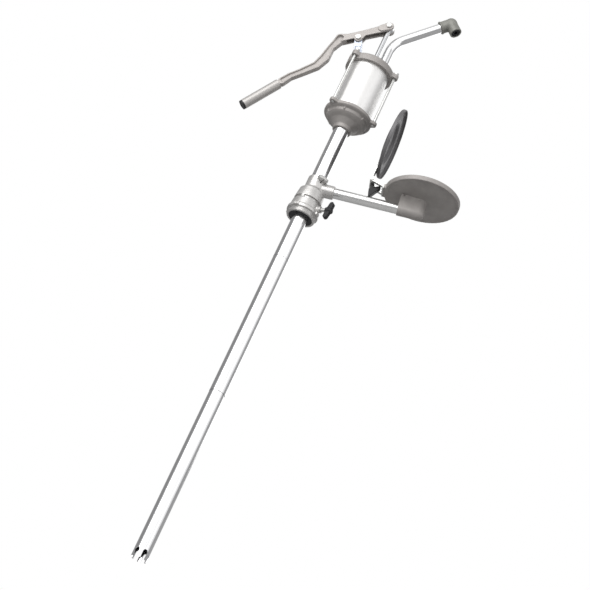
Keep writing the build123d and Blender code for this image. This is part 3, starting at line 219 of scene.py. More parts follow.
class SharedEffects:
    """Shader groups that more than one finish uses, each built once."""

    def __init__(self) -> None:
        """Build every group."""
        self.cast_grain = self._cast_grain()
        self.edge_wear = self._edge_wear()
        self.handling = self._handling()
        self.drawn_lines = self._drawn_lines()

    @staticmethod
    def _cast_grain() -> bpy.types.NodeTree:
        """Build the pebbled, mottled skin of cast or moulded pieces."""
        tree, sheet, source, sink = new_group("cast_grain", "ShaderNodeTree", GroupSockets(
            (("Coordinates", VECTOR), ("Light", COLOUR), ("Dark", COLOUR), ("Grain Scale", FLOAT),
             ("Mottle Scale", FLOAT), ("Roughness", FLOAT), ("Roughness Spread", FLOAT)),
            (("Colour", COLOUR), ("Roughness", FLOAT), ("Height", FLOAT))))
        place = source.outputs["Coordinates"]
        mottle = sheet.noise(place, source.outputs["Mottle Scale"], 4.0, 0.6)
        grain = sheet.noise(place, source.outputs["Grain Scale"], 3.0, 0.65)
        pits = sheet.add("ShaderNodeTexVoronoi")
        sheet.put(pits.inputs["Vector"], place)
        sheet.put(pits.inputs["Scale"], source.outputs["Grain Scale"])
        pit_mask = sheet.spread(pits.outputs["Distance"], 0.05, 0.32)
        share = sheet.math("ADD", sheet.math("MULTIPLY", sheet.spread(mottle, 0.36, 0.66), 0.8),
                           sheet.math("MULTIPLY", sheet.spread(grain, 0.3, 0.7), 0.2), clamp=True)
        sheet.put(sink.inputs["Colour"], sheet.blend(share, source.outputs["Dark"], source.outputs["Light"]))
        centred = sheet.math("SUBTRACT", mottle, 0.5)
        drift = sheet.math("MULTIPLY", centred, source.outputs["Roughness Spread"])
        sheet.put(sink.inputs["Roughness"], sheet.math("ADD", source.outputs["Roughness"], drift, clamp=True))
        sheet.put(sink.inputs["Height"], sheet.math("ADD", sheet.math("MULTIPLY", grain, 0.7),
                                                    sheet.math("MULTIPLY", pit_mask, 0.3)))
        return tree

    @staticmethod
    def _edge_wear() -> bpy.types.NodeTree:
        """Build the brighter, smoother metal that handling leaves on edges."""
        tree, sheet, source, sink = new_group("edge_wear", "ShaderNodeTree", GroupSockets(
            (("Coordinates", VECTOR), ("Colour", COLOUR), ("Worn", COLOUR), ("Roughness", FLOAT),
             ("Worn Roughness", FLOAT), ("Edge Radius", FLOAT), ("Amount", FLOAT)),
            (("Colour", COLOUR), ("Roughness", FLOAT))))
        rounded = sheet.add("ShaderNodeBevel", samples=4)
        sheet.put(rounded.inputs["Radius"], source.outputs["Edge Radius"])
        facing = sheet.add("ShaderNodeVectorMath", operation="DOT_PRODUCT")
        sheet.put(facing.inputs[0], rounded.outputs["Normal"])
        sheet.put(facing.inputs[1], sheet.add("ShaderNodeNewGeometry").outputs["Normal"])
        edge = sheet.spread(facing.outputs["Value"], 0.985, 0.86)
        broken = sheet.spread(sheet.noise(source.outputs["Coordinates"], 240.0, 4.0, 0.7), 0.4, 0.62)
        rubbed = sheet.math("MULTIPLY", edge, broken)
        mask = sheet.math("MULTIPLY", rubbed, source.outputs["Amount"], clamp=True)
        sheet.put(sink.inputs["Colour"], sheet.blend(mask, source.outputs["Colour"], source.outputs["Worn"]))
        gap = sheet.math("SUBTRACT", source.outputs["Worn Roughness"], source.outputs["Roughness"])
        sheet.put(sink.inputs["Roughness"],
                  sheet.math("ADD", source.outputs["Roughness"], sheet.math("MULTIPLY", gap, mask), clamp=True))
        return tree

    @staticmethod
    def _handling() -> bpy.types.NodeTree:
        """Build soft smudges and a thin oily film."""
        tree, sheet, source, sink = new_group("handling_marks", "ShaderNodeTree", GroupSockets(
            (("Coordinates", VECTOR), ("Colour", COLOUR), ("Film", COLOUR), ("Roughness", FLOAT),
             ("Smudge Roughness", FLOAT), ("Amount", FLOAT)),
            (("Colour", COLOUR), ("Roughness", FLOAT))))
        broad = sheet.noise(source.outputs["Coordinates"], 22.0, 5.0, 0.6)
        smudge = sheet.math("MULTIPLY", sheet.spread(broad, 0.5, 0.72), source.outputs["Amount"], clamp=True)
        sheet.put(sink.inputs["Colour"], sheet.blend(smudge, source.outputs["Colour"], source.outputs["Film"]))
        sheet.put(sink.inputs["Roughness"],
                  sheet.math("ADD", source.outputs["Roughness"],
                             sheet.math("MULTIPLY", source.outputs["Smudge Roughness"], smudge), clamp=True))
        return tree

    @staticmethod
    def _drawn_lines() -> bpy.types.NodeTree:
        """Build the fine lines that drawing, turning or polishing leaves."""
        tree, sheet, source, sink = new_group("drawn_lines", "ShaderNodeTree", GroupSockets(
            (("Coordinates", VECTOR), ("Stretch", VECTOR), ("Light", COLOUR), ("Dark", COLOUR),
             ("Roughness", FLOAT), ("Roughness Spread", FLOAT)),
            (("Colour", COLOUR), ("Roughness", FLOAT), ("Height", FLOAT))))
        stretched = sheet.add("ShaderNodeVectorMath", operation="MULTIPLY")
        sheet.put(stretched.inputs[0], source.outputs["Coordinates"])
        sheet.put(stretched.inputs[1], source.outputs["Stretch"])
        fine = sheet.noise(stretched.outputs["Vector"], 1.0, 4.0, 0.7)
        broad = sheet.noise(source.outputs["Coordinates"], 16.0, 3.0, 0.5)
        share = sheet.math("ADD", sheet.math("MULTIPLY", sheet.spread(fine, 0.3, 0.7), 0.6),
                           sheet.math("MULTIPLY", sheet.spread(broad, 0.35, 0.65), 0.4), clamp=True)
        sheet.put(sink.inputs["Colour"], sheet.blend(share, source.outputs["Dark"], source.outputs["Light"]))
        drift = sheet.math("MULTIPLY", sheet.math("SUBTRACT", fine, 0.5), source.outputs["Roughness Spread"])
        sheet.put(sink.inputs["Roughness"], sheet.math("ADD", source.outputs["Roughness"], drift, clamp=True))
        sheet.put(sink.inputs["Height"], fine)
        return tree


# ---------------------------------------------------------------- finishes
class Surface(Enum):
    """How a finish's surface was made."""

    CAST = "cast_grain"
    DRAWN = "drawn_lines"


@dataclass(frozen=True)
class Finish:
    """One procedural finish, as a maker would specify it."""

    name: str
    light: Colour
    dark: Colour
    surface: Surface = Surface.CAST
    metallic: float = 1.0
    roughness: float = 0.4
    roughness_spread: float = 0.2
    grain_scale: float = 900.0
    mottle_scale: float = 45.0
    stretch: tuple[float, float, float] = (900.0, 900.0, 12.0)
    bump: float = 0.25
    bump_depth_mm: float = 0.25
    edge_radius_mm: float = 0.5
    worn: Colour = (0.72, 0.71, 0.69)
    wear: float = 0.5
    film: Colour = (0.3, 0.28, 0.25)
    smudge: float = 0.25
    specular: float = 0.5
    coat: float = 0.0

    def build(self, effects: SharedEffects) -> bpy.types.Material:
        """Make the material.

        Args:
            effects: The shared shader groups.

        Returns:
            The material with its node tree.
        """
        material = bpy.data.materials.new(self.name)
        material.use_nodes = True
        material.diffuse_color = (*self.light, 1.0)
        material.node_tree.nodes.clear()
        sheet = NodeSheet(material.node_tree)
        output = sheet.add("ShaderNodeOutputMaterial")
        shader = sheet.add("ShaderNodeBsdfPrincipled")
        place = sheet.add("ShaderNodeTexCoord").outputs["Object"]
        skin = self._group(sheet, getattr(effects, self.surface.value), {
            "Coordinates": place, "Light": (*self.light, 1.0), "Dark": (*self.dark, 1.0),
            "Grain Scale": self.grain_scale, "Mottle Scale": self.mottle_scale, "Stretch": self.stretch,
            "Roughness": self.roughness, "Roughness Spread": self.roughness_spread})
        smudged = self._group(sheet, effects.handling, {
            "Coordinates": place, "Colour": skin.outputs["Colour"], "Film": (*self.film, 1.0),
            "Roughness": skin.outputs["Roughness"], "Smudge Roughness": 0.12, "Amount": self.smudge})
        worn = self._group(sheet, effects.edge_wear, {
            "Coordinates": place, "Colour": smudged.outputs["Colour"], "Worn": (*self.worn, 1.0),
            "Roughness": smudged.outputs["Roughness"], "Worn Roughness": self.roughness * 0.7,
            "Edge Radius": self.edge_radius_mm * MM, "Amount": self.wear})
        bump = sheet.add("ShaderNodeBump")
        bump.inputs["Strength"].default_value = self.bump
        bump.inputs["Distance"].default_value = self.bump_depth_mm * MM
        sheet.put(bump.inputs["Height"], skin.outputs["Height"])
        sheet.put(shader.inputs["Base Color"], worn.outputs["Colour"])
        sheet.put(shader.inputs["Roughness"], worn.outputs["Roughness"])
        sheet.put(shader.inputs["Normal"], bump.outputs["Normal"])
        shader.inputs["Metallic"].default_value = self.metallic
        shader.inputs["Specular IOR Level"].default_value = self.specular
        shader.inputs["Coat Weight"].default_value = self.coat
        sheet.put(output.inputs["Surface"], shader.outputs["BSDF"])
        return material

    @staticmethod
    def _group(sheet: NodeSheet, tree: bpy.types.NodeTree, values: dict[str, object]) -> bpy.types.Node:
        """Place a shared group and set the inputs that it has."""
        node = sheet.add("ShaderNodeGroup", node_tree=tree)
        for socket_name, value in values.items():
            if socket_name in node.inputs:
                sheet.put(node.inputs[socket_name], value)
        return node


FINISHES = (
    Finish("grey_sand_casting", (0.37, 0.35, 0.335), (0.29, 0.272, 0.26), metallic=0.3, roughness=0.55,
           roughness_spread=0.2, grain_scale=800.0, bump=0.16, worn=(0.56, 0.53, 0.50), wear=0.5,
           film=(0.25, 0.235, 0.22)),
    Finish("dull_lid_casting", (0.17, 0.165, 0.168), (0.12, 0.116, 0.12), metallic=0.4, roughness=0.5,
           roughness_spread=0.15, grain_scale=800.0, bump=0.12, worn=(0.4, 0.39, 0.4), wear=0.5,
           film=(0.13, 0.125, 0.125)),
    Finish("elbow_casting", (0.27, 0.27, 0.245), (0.20, 0.20, 0.182), metallic=0.35, roughness=0.55,
           grain_scale=900.0, bump=0.16, worn=(0.46, 0.46, 0.43), wear=0.5, film=(0.2, 0.2, 0.18)),
    Finish("bright_die_casting", (0.60, 0.59, 0.575), (0.48, 0.472, 0.46), metallic=0.6, roughness=0.32,
           roughness_spread=0.15, grain_scale=520.0, bump=0.1, worn=(0.75, 0.745, 0.735),
           film=(0.4, 0.39, 0.375)),
    Finish("blasted_lever_casting", (0.44, 0.415, 0.395), (0.385, 0.362, 0.345), metallic=0.35, roughness=0.5,
           roughness_spread=0.12, grain_scale=900.0, bump=0.08, worn=(0.56, 0.54, 0.52), wear=0.3,
           film=(0.36, 0.34, 0.325)),
    Finish("grip_sleeve_metal", (0.46, 0.445, 0.43), (0.40, 0.385, 0.37), Surface.DRAWN, metallic=0.45,
           roughness=0.42, stretch=(500.0, 500.0, 500.0), bump=0.06, worn=(0.75, 0.74, 0.73), wear=0.4),
    Finish("zinc_forged_link", (0.62, 0.66, 0.74), (0.50, 0.54, 0.62), metallic=0.8, roughness=0.32,
           grain_scale=600.0, bump=0.1, worn=(0.85, 0.86, 0.88)),
    Finish("bright_plated_tube", (0.90, 0.90, 0.90), (0.83, 0.83, 0.835), Surface.DRAWN, roughness=0.16,
           roughness_spread=0.05, stretch=(700.0, 700.0, 9.0), bump=0.03, bump_depth_mm=0.03, wear=0.15,
           worn=(0.9, 0.9, 0.9), film=(0.78, 0.78, 0.77), smudge=0.2),
    Finish("satin_drain_tube", (0.84, 0.84, 0.83), (0.74, 0.74, 0.73), Surface.DRAWN, roughness=0.26,
           roughness_spread=0.1, stretch=(14.0, 700.0, 700.0), bump=0.05, bump_depth_mm=0.04, wear=0.15,
           film=(0.65, 0.64, 0.62)),
    Finish("ground_rod_chrome", (0.86, 0.87, 0.88), (0.78, 0.79, 0.80), Surface.DRAWN, roughness=0.12,
           roughness_spread=0.05, stretch=(40.0, 40.0, 1600.0), bump=0.03, bump_depth_mm=0.03, wear=0.1),
    Finish("satin_barrel_alloy", (0.88, 0.873, 0.86), (0.82, 0.812, 0.80), Surface.DRAWN, metallic=0.8,
           roughness=0.42, roughness_spread=0.1, stretch=(35.0, 35.0, 1900.0), bump=0.06, bump_depth_mm=0.04, wear=0.2,
           film=(0.74, 0.73, 0.72), smudge=0.15),
    Finish("zinc_hardware", (0.68, 0.68, 0.665), (0.56, 0.56, 0.545), metallic=0.8, roughness=0.3,
           grain_scale=1300.0, bump=0.08, bump_depth_mm=0.1, worn=(0.88, 0.88, 0.87)),
    Finish("machined_brass", (0.74, 0.57, 0.28), (0.62, 0.46, 0.2), Surface.DRAWN, roughness=0.24,
           stretch=(60.0, 60.0, 1400.0), bump=0.1, bump_depth_mm=0.05, worn=(0.85, 0.7, 0.4)),
    Finish("nitrile_rubber", (0.035, 0.035, 0.037), (0.02, 0.02, 0.022), metallic=0.0, roughness=0.62,
           grain_scale=1200.0, bump=0.15, wear=0.0, film=(0.05, 0.05, 0.05)),
    # near-black moulding; on lid_stop the same black is painted shade standing for its shadowed underside
    Finish("black_moulding_and_shade", (0.016, 0.016, 0.018), (0.009, 0.009, 0.01), metallic=0.0, roughness=0.45,
           grain_scale=1100.0, bump=0.15, bump_depth_mm=0.1, worn=(0.07, 0.07, 0.07), wear=0.4,
           film=(0.035, 0.035, 0.035), specular=0.35),
)

NODE_FINISH: dict[str, tuple[str, ...]] = {
    "grey_sand_casting": ("lower_cap", "upper_cap", "drip_pan"),
    "dull_lid_casting": ("pan_lid",),
    "elbow_casting": ("spout_elbow",),
    "bright_die_casting": ("bung_ring", "adapter_tee", "piston_body"),
    "blasted_lever_casting": ("lever",),
    "grip_sleeve_metal": ("lever_grip",),
    "zinc_forged_link": ("link",),
    "bright_plated_tube": ("suction_tube_upper", "suction_tube_middle", "suction_tube_lower", "spout_tube"),
    "satin_drain_tube": ("drain_arm",),
    "ground_rod_chrome": ("piston_rod",),
    "satin_barrel_alloy": ("cylinder",),
    "machined_brass": ("inlet_seat", "inlet_disc", "inlet_cage", "rod_bush", "piston_valve"),
    "nitrile_rubber": (
        "neck_seal", "gasket_lower", "gasket_upper", "gland_packing", "spout_seal", "piston_cup"),
    # lid_stop takes this near-black as painted shade: the dark of its shadowed underside is given to the whole piece
    "black_moulding_and_shade": ("ring_insert", "wing_knob", "lid_stop", "grip_plug", "nozzle_insert"),
    "zinc_hardware": (
        "wing_screw", "clamp_screw", "clamp_nut", "pan_strainer", "pan_bracket",
        "pan_bracket_rivets", "hinge_pin", "lid_bracket", "lid_rivets", "tube_nipple_upper",
        "tube_nipple_lower", "tie_rods", "tie_rod_washers", "tie_rod_nuts", "gland_nut",
        "piston_retainer", "retainer_screws", "lift_stop", "piston_nut", "pin_bolt", "pin_nut",
        "fulcrum_bolt", "fulcrum_nut", "link_foot_pin", "spout_grub_screw"),
}


class Workshop:
    """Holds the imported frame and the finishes, and turns meshes into pieces."""

    def __init__(self) -> None:
        """Load the frame and build every finish."""
        self.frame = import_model()
        effects = SharedEffects()
        self.finishes = {finish.name: finish.build(effects) for finish in FINISHES}
        subparts = self.frame["record"]["subparts"]
        self.slots = {entry["node"]: entry["material_slot"] for entry in subparts}
        self.pieces = 0

    def node(self, name: str) -> bpy.types.Object:
        """Return the object of a CAD node."""
        return self.frame["nodes"][name]

    def dress_nodes(self) -> None:
        """Give every CAD node its finish."""
        for finish_name, node_names in NODE_FINISH.items():
            for node_name in node_names:
                mesh = self.node(node_name).data
                mesh.materials.clear()
                mesh.materials.append(self.finishes[finish_name])

    def place(self, piece: bpy.types.Object, body: str, finish_name: str, slot: str) -> None:
        """Finish one piece: its material and the body that it rides on.

        Args:
            piece: Mesh object at the origin.
            body: CAD body that it rides on.
            finish_name: Name of its finish.
            slot: Material slot of the record; not used.
        """
        piece.data.materials.clear()
        piece.data.materials.append(self.finishes[finish_name])
        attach(piece, body)
        self.pieces += 1
        LOG.info("%s rides on %s, %d faces", piece.name, body, len(piece.data.polygons))


def new_piece(name: str, mesh: bpy.types.Mesh) -> bpy.types.Object:
    """Make an object for a mesh and link it to the scene."""
    piece = bpy.data.objects.new(name, mesh)
    bpy.context.scene.collection.objects.link(piece)
    return piece


def settle(piece: bpy.types.Object) -> None:
    """Replace a piece's mesh with its evaluated one and drop its modifiers."""
    depsgraph = bpy.context.evaluated_depsgraph_get()
    depsgraph.update()
    result = bpy.data.meshes.new_from_object(piece.evaluated_get(depsgraph), depsgraph=depsgraph)
    piece.modifiers.clear()
    spare = piece.data
    piece.data = result
    bpy.data.meshes.remove(spare)


# ---------------------------------------------------------------- soft-edged skins
@dataclass(frozen=True)
class Skin:
    """A cast or moulded piece whose edges are rounded by the mould."""

    node: str
    body: str
    finish: str
    voxel_mm: float = 0.8
    rounds: int = 6

    def build(self, shop: Workshop) -> None:
        """Round the node's solid and put it in the node's place.

        Args:
            shop: The workshop that holds the frame and the finishes.
        """
        mesh = shop.node(self.node).data.copy()
        shell = bmesh.new()
        shell.from_mesh(mesh)
        bmesh.ops.remove_doubles(shell, verts=shell.verts, dist=0.002 * MM)
        shell.to_mesh(mesh)
        shell.free()
        piece = new_piece(f"{self.node}_skin", mesh)
        remesh = piece.modifiers.new("even", "REMESH")
        remesh.mode = "VOXEL"
        remesh.voxel_size = self.voxel_mm * MM
        remesh.use_smooth_shade = True
        smooth = piece.modifiers.new("round", "SMOOTH")
        smooth.factor = 0.5
        smooth.iterations = self.rounds
        settle(piece)
        shop.place(piece, self.body, self.finish, shop.slots[self.node])
        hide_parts(self.node)


SKINS = (
    Skin("bung_ring", "bung", "bright_die_casting", 0.6, 5),
    Skin("adapter_tee", "adapter", "bright_die_casting", 0.7, 5),
    Skin("drip_pan", "adapter", "grey_sand_casting", 0.9, 5),
    Skin("pan_lid", "lid", "dull_lid_casting", 0.7, 4),
    Skin("lower_cap", "pump", "grey_sand_casting", 0.8, 5),
    Skin("upper_cap", "pump", "grey_sand_casting", 0.8, 5),
    Skin("lever", "lever", "blasted_lever_casting", 0.8, 5),
    Skin("link", "link", "zinc_forged_link", 0.5, 4),
    Skin("spout_elbow", "spout", "elbow_casting", 0.5, 5),
    Skin("wing_knob", "wing", "black_moulding_and_shade", 0.5, 6),
    # lid_stop is skinned in the near-black finish: painted shade for its shadowed underside
    Skin("lid_stop", "lid", "black_moulding_and_shade", 0.5, 5),
)


# ---------------------------------------------------------------- threads, and joint rings with painted shadow
class Threads:
    """Screw threads and dark tube-joint rings (seam line plus painted shadow), each a spiral or ring swept by Geometry
    Nodes.
    """

    def __init__(self) -> None:
        """Build the two trees."""
        self.thread = self._thread_tree()
        self.seam = self._seam_tree()

    @staticmethod
    def _thread_tree() -> bpy.types.NodeTree:
        """Build a tree that winds a ridge along +Z and copies it round a circle."""
        tree, sheet, source, sink = new_group("screw_thread", "GeometryNodeTree", GroupSockets(
            (("Geometry", "NodeSocketGeometry"), ("Crest Radius", FLOAT), ("Pitch", FLOAT), ("Turns", FLOAT),
             ("Ridge", FLOAT), ("Copies", "NodeSocketInt"), ("Circle Radius", FLOAT),
             ("Material", "NodeSocketMaterial")),
            (("Geometry", "NodeSocketGeometry"),)))
        given = source.outputs
        wind = sheet.add("GeometryNodeCurveSpiral")
        wind.inputs["Resolution"].default_value = 48
        for name in ("Start Radius", "End Radius"):
            sheet.put(wind.inputs[name], given["Crest Radius"])
        sheet.put(wind.inputs["Rotations"], given["Turns"])
        sheet.put(wind.inputs["Height"], sheet.math("MULTIPLY", given["Pitch"], given["Turns"]))
        profile = sheet.add("GeometryNodeCurvePrimitiveCircle", mode="RADIUS")
        profile.inputs["Resolution"].default_value = 5
        sheet.put(profile.inputs["Radius"], given["Ridge"])
        sweep = sheet.add("GeometryNodeCurveToMesh")
        sheet.put(sweep.inputs["Curve"], wind.outputs["Curve"])
        sheet.put(sweep.inputs["Profile Curve"], profile.outputs["Curve"])
        sweep.inputs["Fill Caps"].default_value = True
        index = sheet.add("GeometryNodeInputIndex")
        share = sheet.math("DIVIDE", math.tau, given["Copies"])
        bearing = sheet.math("MULTIPLY", index.outputs["Index"], share)
        spot = sheet.add("ShaderNodeCombineXYZ")
        for axis, turn in (("X", "COSINE"), ("Y", "SINE")):
            reach = sheet.math("MULTIPLY", given["Circle Radius"], sheet.math(turn, bearing))
            sheet.put(spot.inputs[axis], reach)
        spots = sheet.add("GeometryNodePoints")
        sheet.put(spots.inputs["Count"], given["Copies"])
        sheet.put(spots.inputs["Position"], spot.outputs["Vector"])
        copies = sheet.add("GeometryNodeInstanceOnPoints")
        sheet.put(copies.inputs["Points"], spots.outputs[0])
        sheet.put(copies.inputs["Instance"], sweep.outputs["Mesh"])
        finish_nodes(sheet, copies.outputs["Instances"], given["Material"], sink)
        return tree

    @staticmethod
    def _seam_tree() -> bpy.types.NodeTree:
        """Build a tree that stacks rings along +Z."""
        tree, sheet, source, sink = new_group("ring_stack", "GeometryNodeTree", GroupSockets(
            (("Geometry", "NodeSocketGeometry"), ("Ring Radius", FLOAT), ("Bead", FLOAT), ("Spacing", FLOAT),
             ("Count", "NodeSocketInt"), ("Material", "NodeSocketMaterial")),
            (("Geometry", "NodeSocketGeometry"),)))
        given = source.outputs
        ring = sheet.add("GeometryNodeCurvePrimitiveCircle", mode="RADIUS")
        ring.inputs["Resolution"].default_value = 96
        sheet.put(ring.inputs["Radius"], given["Ring Radius"])
        profile = sheet.add("GeometryNodeCurvePrimitiveCircle", mode="RADIUS")
        profile.inputs["Resolution"].default_value = 8
        sheet.put(profile.inputs["Radius"], given["Bead"])
        sweep = sheet.add("GeometryNodeCurveToMesh")
        sheet.put(sweep.inputs["Curve"], ring.outputs["Curve"])
        sheet.put(sweep.inputs["Profile Curve"], profile.outputs["Curve"])
        line = sheet.add("GeometryNodeMeshLine", mode="OFFSET")
        sheet.put(line.inputs["Count"], given["Count"])
        step = sheet.add("ShaderNodeCombineXYZ")
        sheet.put(step.inputs["Z"], given["Spacing"])
        sheet.put(line.inputs["Offset"], step.outputs["Vector"])
        copies = sheet.add("GeometryNodeInstanceOnPoints")
        sheet.put(copies.inputs["Points"], line.outputs["Mesh"])
        sheet.put(copies.inputs["Instance"], sweep.outputs["Mesh"])
        finish_nodes(sheet, copies.outputs["Instances"], given["Material"], sink)
        return tree


def finish_nodes(sheet: NodeSheet, instances: bpy.types.NodeSocket, material: bpy.types.NodeSocket,
                 sink: bpy.types.Node) -> None:
    """End a geometry tree: realize, shade smooth and set the material."""
    real = sheet.add("GeometryNodeRealizeInstances")
    sheet.put(real.inputs["Geometry"], instances)
    shade = sheet.add("GeometryNodeSetShadeSmooth")
    sheet.put(shade.inputs["Geometry"], real.outputs["Geometry"])
    paint = sheet.add("GeometryNodeSetMaterial")
    sheet.put(paint.inputs["Geometry"], shade.outputs["Geometry"])
    sheet.put(paint.inputs["Material"], material)
    sheet.put(sink.inputs["Geometry"], paint.outputs["Geometry"])


@dataclass(frozen=True)
class Wound:
    """One thread or dark joint ring (seam line plus painted shadow): what it is made of and where it sits."""

    name: str
    body: str
    finish: str
    slot: str
    is_thread: bool
    values: dict[str, float | int]
    place: Matrix = field(default_factory=Matrix)

    def build(self, shop: Workshop, threads: Threads) -> None:
        """Run the tree, move its result into place and let it ride.

        Args:
            shop: The workshop.
            threads: The geometry trees.
        """
        piece = new_piece(self.name, bpy.data.meshes.new(self.name))
        modifier = piece.modifiers.new("wind", "NODES")
        modifier.node_group = threads.thread if self.is_thread else threads.seam
        values = dict(self.values, Material=shop.finishes[self.finish])
        for item in modifier.node_group.interface.items_tree:
            if item.in_out == "INPUT" and item.name in values:
                modifier[item.identifier] = values[item.name]
        settle(piece)
        piece.data.transform(self.place)
        shop.place(piece, self.body, self.finish, self.slot)


# ---------------------------------------------------------------- studio
ROOM_TURN_DEG = 72.2  # turns the room so that bearing 0 is where the camera stands
ROOM_BANDS = (  # bearing round the pump in degrees, and how bright the room is there
    (-180.0, 0.45), (179.0, 0.45), (-130.0, 0.3), (-84.0, 0.26), (-66.0, 0.9), (0.0, 1.15), (8.0, 1.0),
    (16.0, 0.45), (32.0, 0.5), (46.0, 1.1), (72.0, 1.0), (88.0, 0.35), (130.0, 0.3),
)
ROOM_TINT = 1.01  # a trace of blue in the room's white
ROOM_EVEN_FROM, ROOM_EVEN_TO = 0.55, 0.95  # steepness of a ray at which the bands fade out
ROOM_EVEN = (0.8, 0.8, 0.8, 1.0)
ROOM_STRENGTH = 0.95
LIGHT_AIM = Vector((0.0, 0.0, 0.1))


@dataclass
class Studio:
    """Camera, lights, floor and world."""

    eye: Vector = field(default_factory=lambda: Vector((0.9669, -2.7960, -1.7137)))
    right: Vector = field(default_factory=lambda: Vector((0.92326, 0.09472, 0.37232)))
    up: Vector = field(default_factory=lambda: Vector((-0.26962, -0.53063, 0.80358)))
    lens_mm: float = 103.73
    floor_z: float = -2.4

    def build(self) -> None:
        """Set up everything that isn't part of the pump."""
        self._camera()
        self._floor()
        self._world()
        for name, place, size, power in self._lights():
            self._light(name, place, size, power)

    def _camera(self) -> None:
        """Place the camera."""
        data = bpy.data.cameras.new("camera")
        data.lens = self.lens_mm
        data.sensor_width = 36.0
        data.clip_end = 50.0
        camera = bpy.data.objects.new("camera", data)
        bpy.context.scene.collection.objects.link(camera)
        right = self.right.normalized()
        back = right.cross(self.up).normalized()
        up = back.cross(right)
        turn = Matrix((right, up, back)).transposed().to_4x4()
        camera.matrix_world = Matrix.Translation(self.eye) @ turn
        bpy.context.scene.camera = camera

    def _floor(self) -> None:
        """Lay a plain pale floor well below the hanging pump."""
        mesh = bpy.data.meshes.new("floor")
        sheet = bmesh.new()
        bmesh.ops.create_grid(sheet, x_segments=1, y_segments=1, size=12.0)
        sheet.to_mesh(mesh)
        sheet.free()
        mesh.transform(Matrix.Translation((0, 0, self.floor_z)))
        floor = new_piece("floor", mesh)
        material = bpy.data.materials.new("pale_floor")
        material.use_nodes = True
        shader = material.node_tree.nodes["Principled BSDF"]
        shader.inputs["Base Color"].default_value = (0.5, 0.5, 0.5, 1.0)
        shader.inputs["Roughness"].default_value = 0.8
        mesh.materials.append(material)

    @staticmethod
    def _world() -> None:
        """Light the pump from a white room with darker bands for the plating to show."""
        world = bpy.data.worlds.new("white_room")
        bpy.context.scene.world = world
        world.use_nodes = True
        world.node_tree.nodes.clear()
        sheet = NodeSheet(world.node_tree)
        direction = sheet.add("ShaderNodeTexCoord").outputs["Generated"]
        turned = sheet.add("ShaderNodeVectorRotate", rotation_type="Z_AXIS")
        sheet.put(turned.inputs["Vector"], direction)
        turned.inputs["Angle"].default_value = math.radians(ROOM_TURN_DEG)
        parts = sheet.add("ShaderNodeSeparateXYZ")
        sheet.put(parts.inputs[0], turned.outputs["Vector"])
        bearing = sheet.math("ARCTAN2", parts.outputs["Y"], parts.outputs["X"])
        ramp = sheet.add("ShaderNodeValToRGB")
        stops = ramp.color_ramp.elements
        for number, (angle, level) in enumerate(ROOM_BANDS):
            stop = stops[number] if number < 2 else stops.new(1.0)
            stop.position = (angle + 180.0) / 360.0
            stop.color = (level, level, level * ROOM_TINT, 1.0)
        sheet.put(ramp.inputs["Fac"], sheet.spread(bearing, -math.pi, math.pi))
        height = sheet.spread(sheet.math("ABSOLUTE", parts.outputs["Z"]), ROOM_EVEN_FROM, ROOM_EVEN_TO)
        even = sheet.blend(height, ramp.outputs["Color"], ROOM_EVEN)
        room = sheet.add("ShaderNodeBackground")
        sheet.put(room.inputs["Color"], even)
        room.inputs["Strength"].default_value = ROOM_STRENGTH
        paper = sheet.add("ShaderNodeBackground")
        paper.inputs["Color"].default_value = (1.0, 1.0, 1.0, 1.0)
        paper.inputs["Strength"].default_value = 1.0
        choose = sheet.add("ShaderNodeMixShader")
        sheet.put(choose.inputs[0], sheet.add("ShaderNodeLightPath").outputs["Is Camera Ray"])
        sheet.put(choose.inputs[1], room.outputs[0])
        sheet.put(choose.inputs[2], paper.outputs[0])
        sheet.put(sheet.add("ShaderNodeOutputWorld").inputs["Surface"], choose.outputs[0])

    @staticmethod
    def _lights() -> tuple[tuple[str, tuple[float, float, float], float, float], ...]:
        """Return each light's name, place, size and power."""
        return (
            ("key", (-0.9, -2.6, 0.9), 2.4, 62.0),
            ("fill", (1.8, -1.8, 0.8), 2.2, 10.0),
            ("back", (0.4, 2.2, 1.4), 2.0, 14.0),
        )

    @staticmethod
    def _light(name: str, place: tuple[float, float, float], size: float, power: float) -> None:
        """Aim one square soft light at the pump's middle."""
        data = bpy.data.lights.new(name, "AREA")
        data.size = size
        data.energy = power
        light = bpy.data.objects.new(name, data)
        bpy.context.scene.collection.objects.link(light)
        light.location = place
        aim = LIGHT_AIM - Vector(place)
        light.rotation_euler = aim.to_track_quat("-Z", "Y").to_euler()


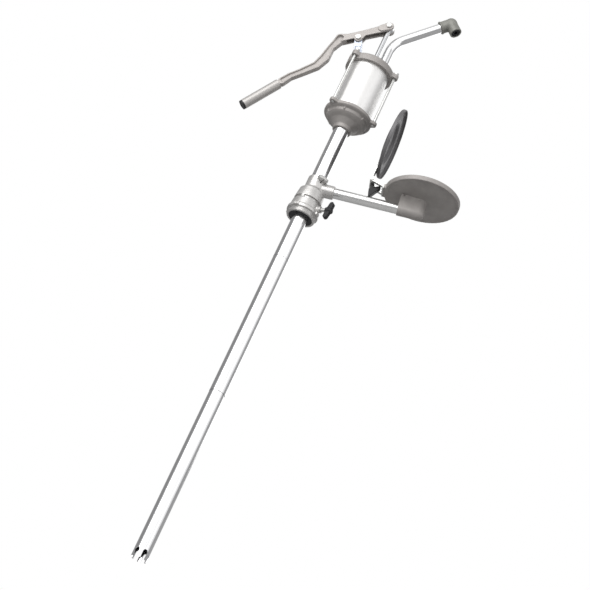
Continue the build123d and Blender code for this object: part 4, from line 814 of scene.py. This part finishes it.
# ---------------------------------------------------------------- the pump
BUNG_THREAD: dict[str, float | int] = {
    "Crest Radius": 29.7 * MM, "Pitch": 2.31 * MM, "Turns": 3.6, "Ridge": 0.75 * MM, "Copies": 1,
    "Circle Radius": 0.0}
BUNG_THREAD_START = 0.9 * MM  # above the ring's lower rim
TIE_THREAD: dict[str, float | int] = {
    "Crest Radius": 2.95 * MM, "Pitch": 1.0 * MM, "Ridge": 0.3 * MM, "Copies": 3}
TIE_ROD_R = 3.0 * MM
TIE_LOWER_TURNS, TIE_UPPER_TURNS = 1.4, 1.3
TIE_LOWER_START = 0.1 * MM  # above the rods' lower ends
TIE_UPPER_START = 1.5 * MM  # below the rods' upper ends
# near-black rings at the tube joints: a seam line, and painted shadow in the crevice between the tubes
JOINT_SEAM_AND_SHADOW: dict[str, float | int] = {"Ring Radius": 15.95 * MM, "Bead": 0.22 * MM, "Count": 2}


def wound_pieces() -> tuple[Wound, ...]:
    """Return every thread of the pump, and its dark tube-joint rings of seam line and painted shadow.

    Returns:
        The threads and joint rings, with places read from the CAD nodes.
    """
    ring_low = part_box("bung_ring")[0]
    rods_low, rods_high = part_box("tie_rods")
    middle_low, middle_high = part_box("suction_tube_middle")
    tie = dict(TIE_THREAD, **{"Circle Radius": rods_high.x - TIE_ROD_R})
    joints = dict(JOINT_SEAM_AND_SHADOW, Spacing=middle_high.z - middle_low.z)
    return (
        Wound("bung_thread", "bung", "bright_die_casting", "bright_cast", True, BUNG_THREAD,
              Matrix.Translation((0, 0, ring_low.z + BUNG_THREAD_START))),
        Wound("tie_rod_lower_threads", "pump", "zinc_hardware", "zinc_steel", True,
              dict(tie, Turns=TIE_LOWER_TURNS),
              Matrix.Translation((0, 0, rods_low.z + TIE_LOWER_START))),
        Wound("tie_rod_upper_threads", "pump", "zinc_hardware", "zinc_steel", True,
              dict(tie, Turns=TIE_UPPER_TURNS),
              Matrix.Translation((0, 0, rods_high.z - TIE_UPPER_START))),
        # black rubber-coloured rings at the joints: seam line plus painted shadow of the joint's crevice
        Wound("tube_joint_seams_and_shadow", "pump", "nitrile_rubber", "seal_rubber", False, joints,
              Matrix.Translation((0, 0, middle_low.z))),
    )


def main() -> None:
    """Build the pump's looks and the studio round it."""
    logging.basicConfig(level=logging.INFO, format="%(name)s: %(message)s")
    shop = Workshop()
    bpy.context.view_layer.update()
    bpy.context.scene.view_settings.view_transform = "Standard"
    shop.dress_nodes()
    for skin in SKINS:
        skin.build(shop)
    threads = Threads()
    for wound in wound_pieces():
        wound.build(shop, threads)
    Studio().build()
    LOG.info("%d pieces on %d nodes", shop.pieces, len(shop.frame["nodes"]))


if __name__ == "__main__":
    main()
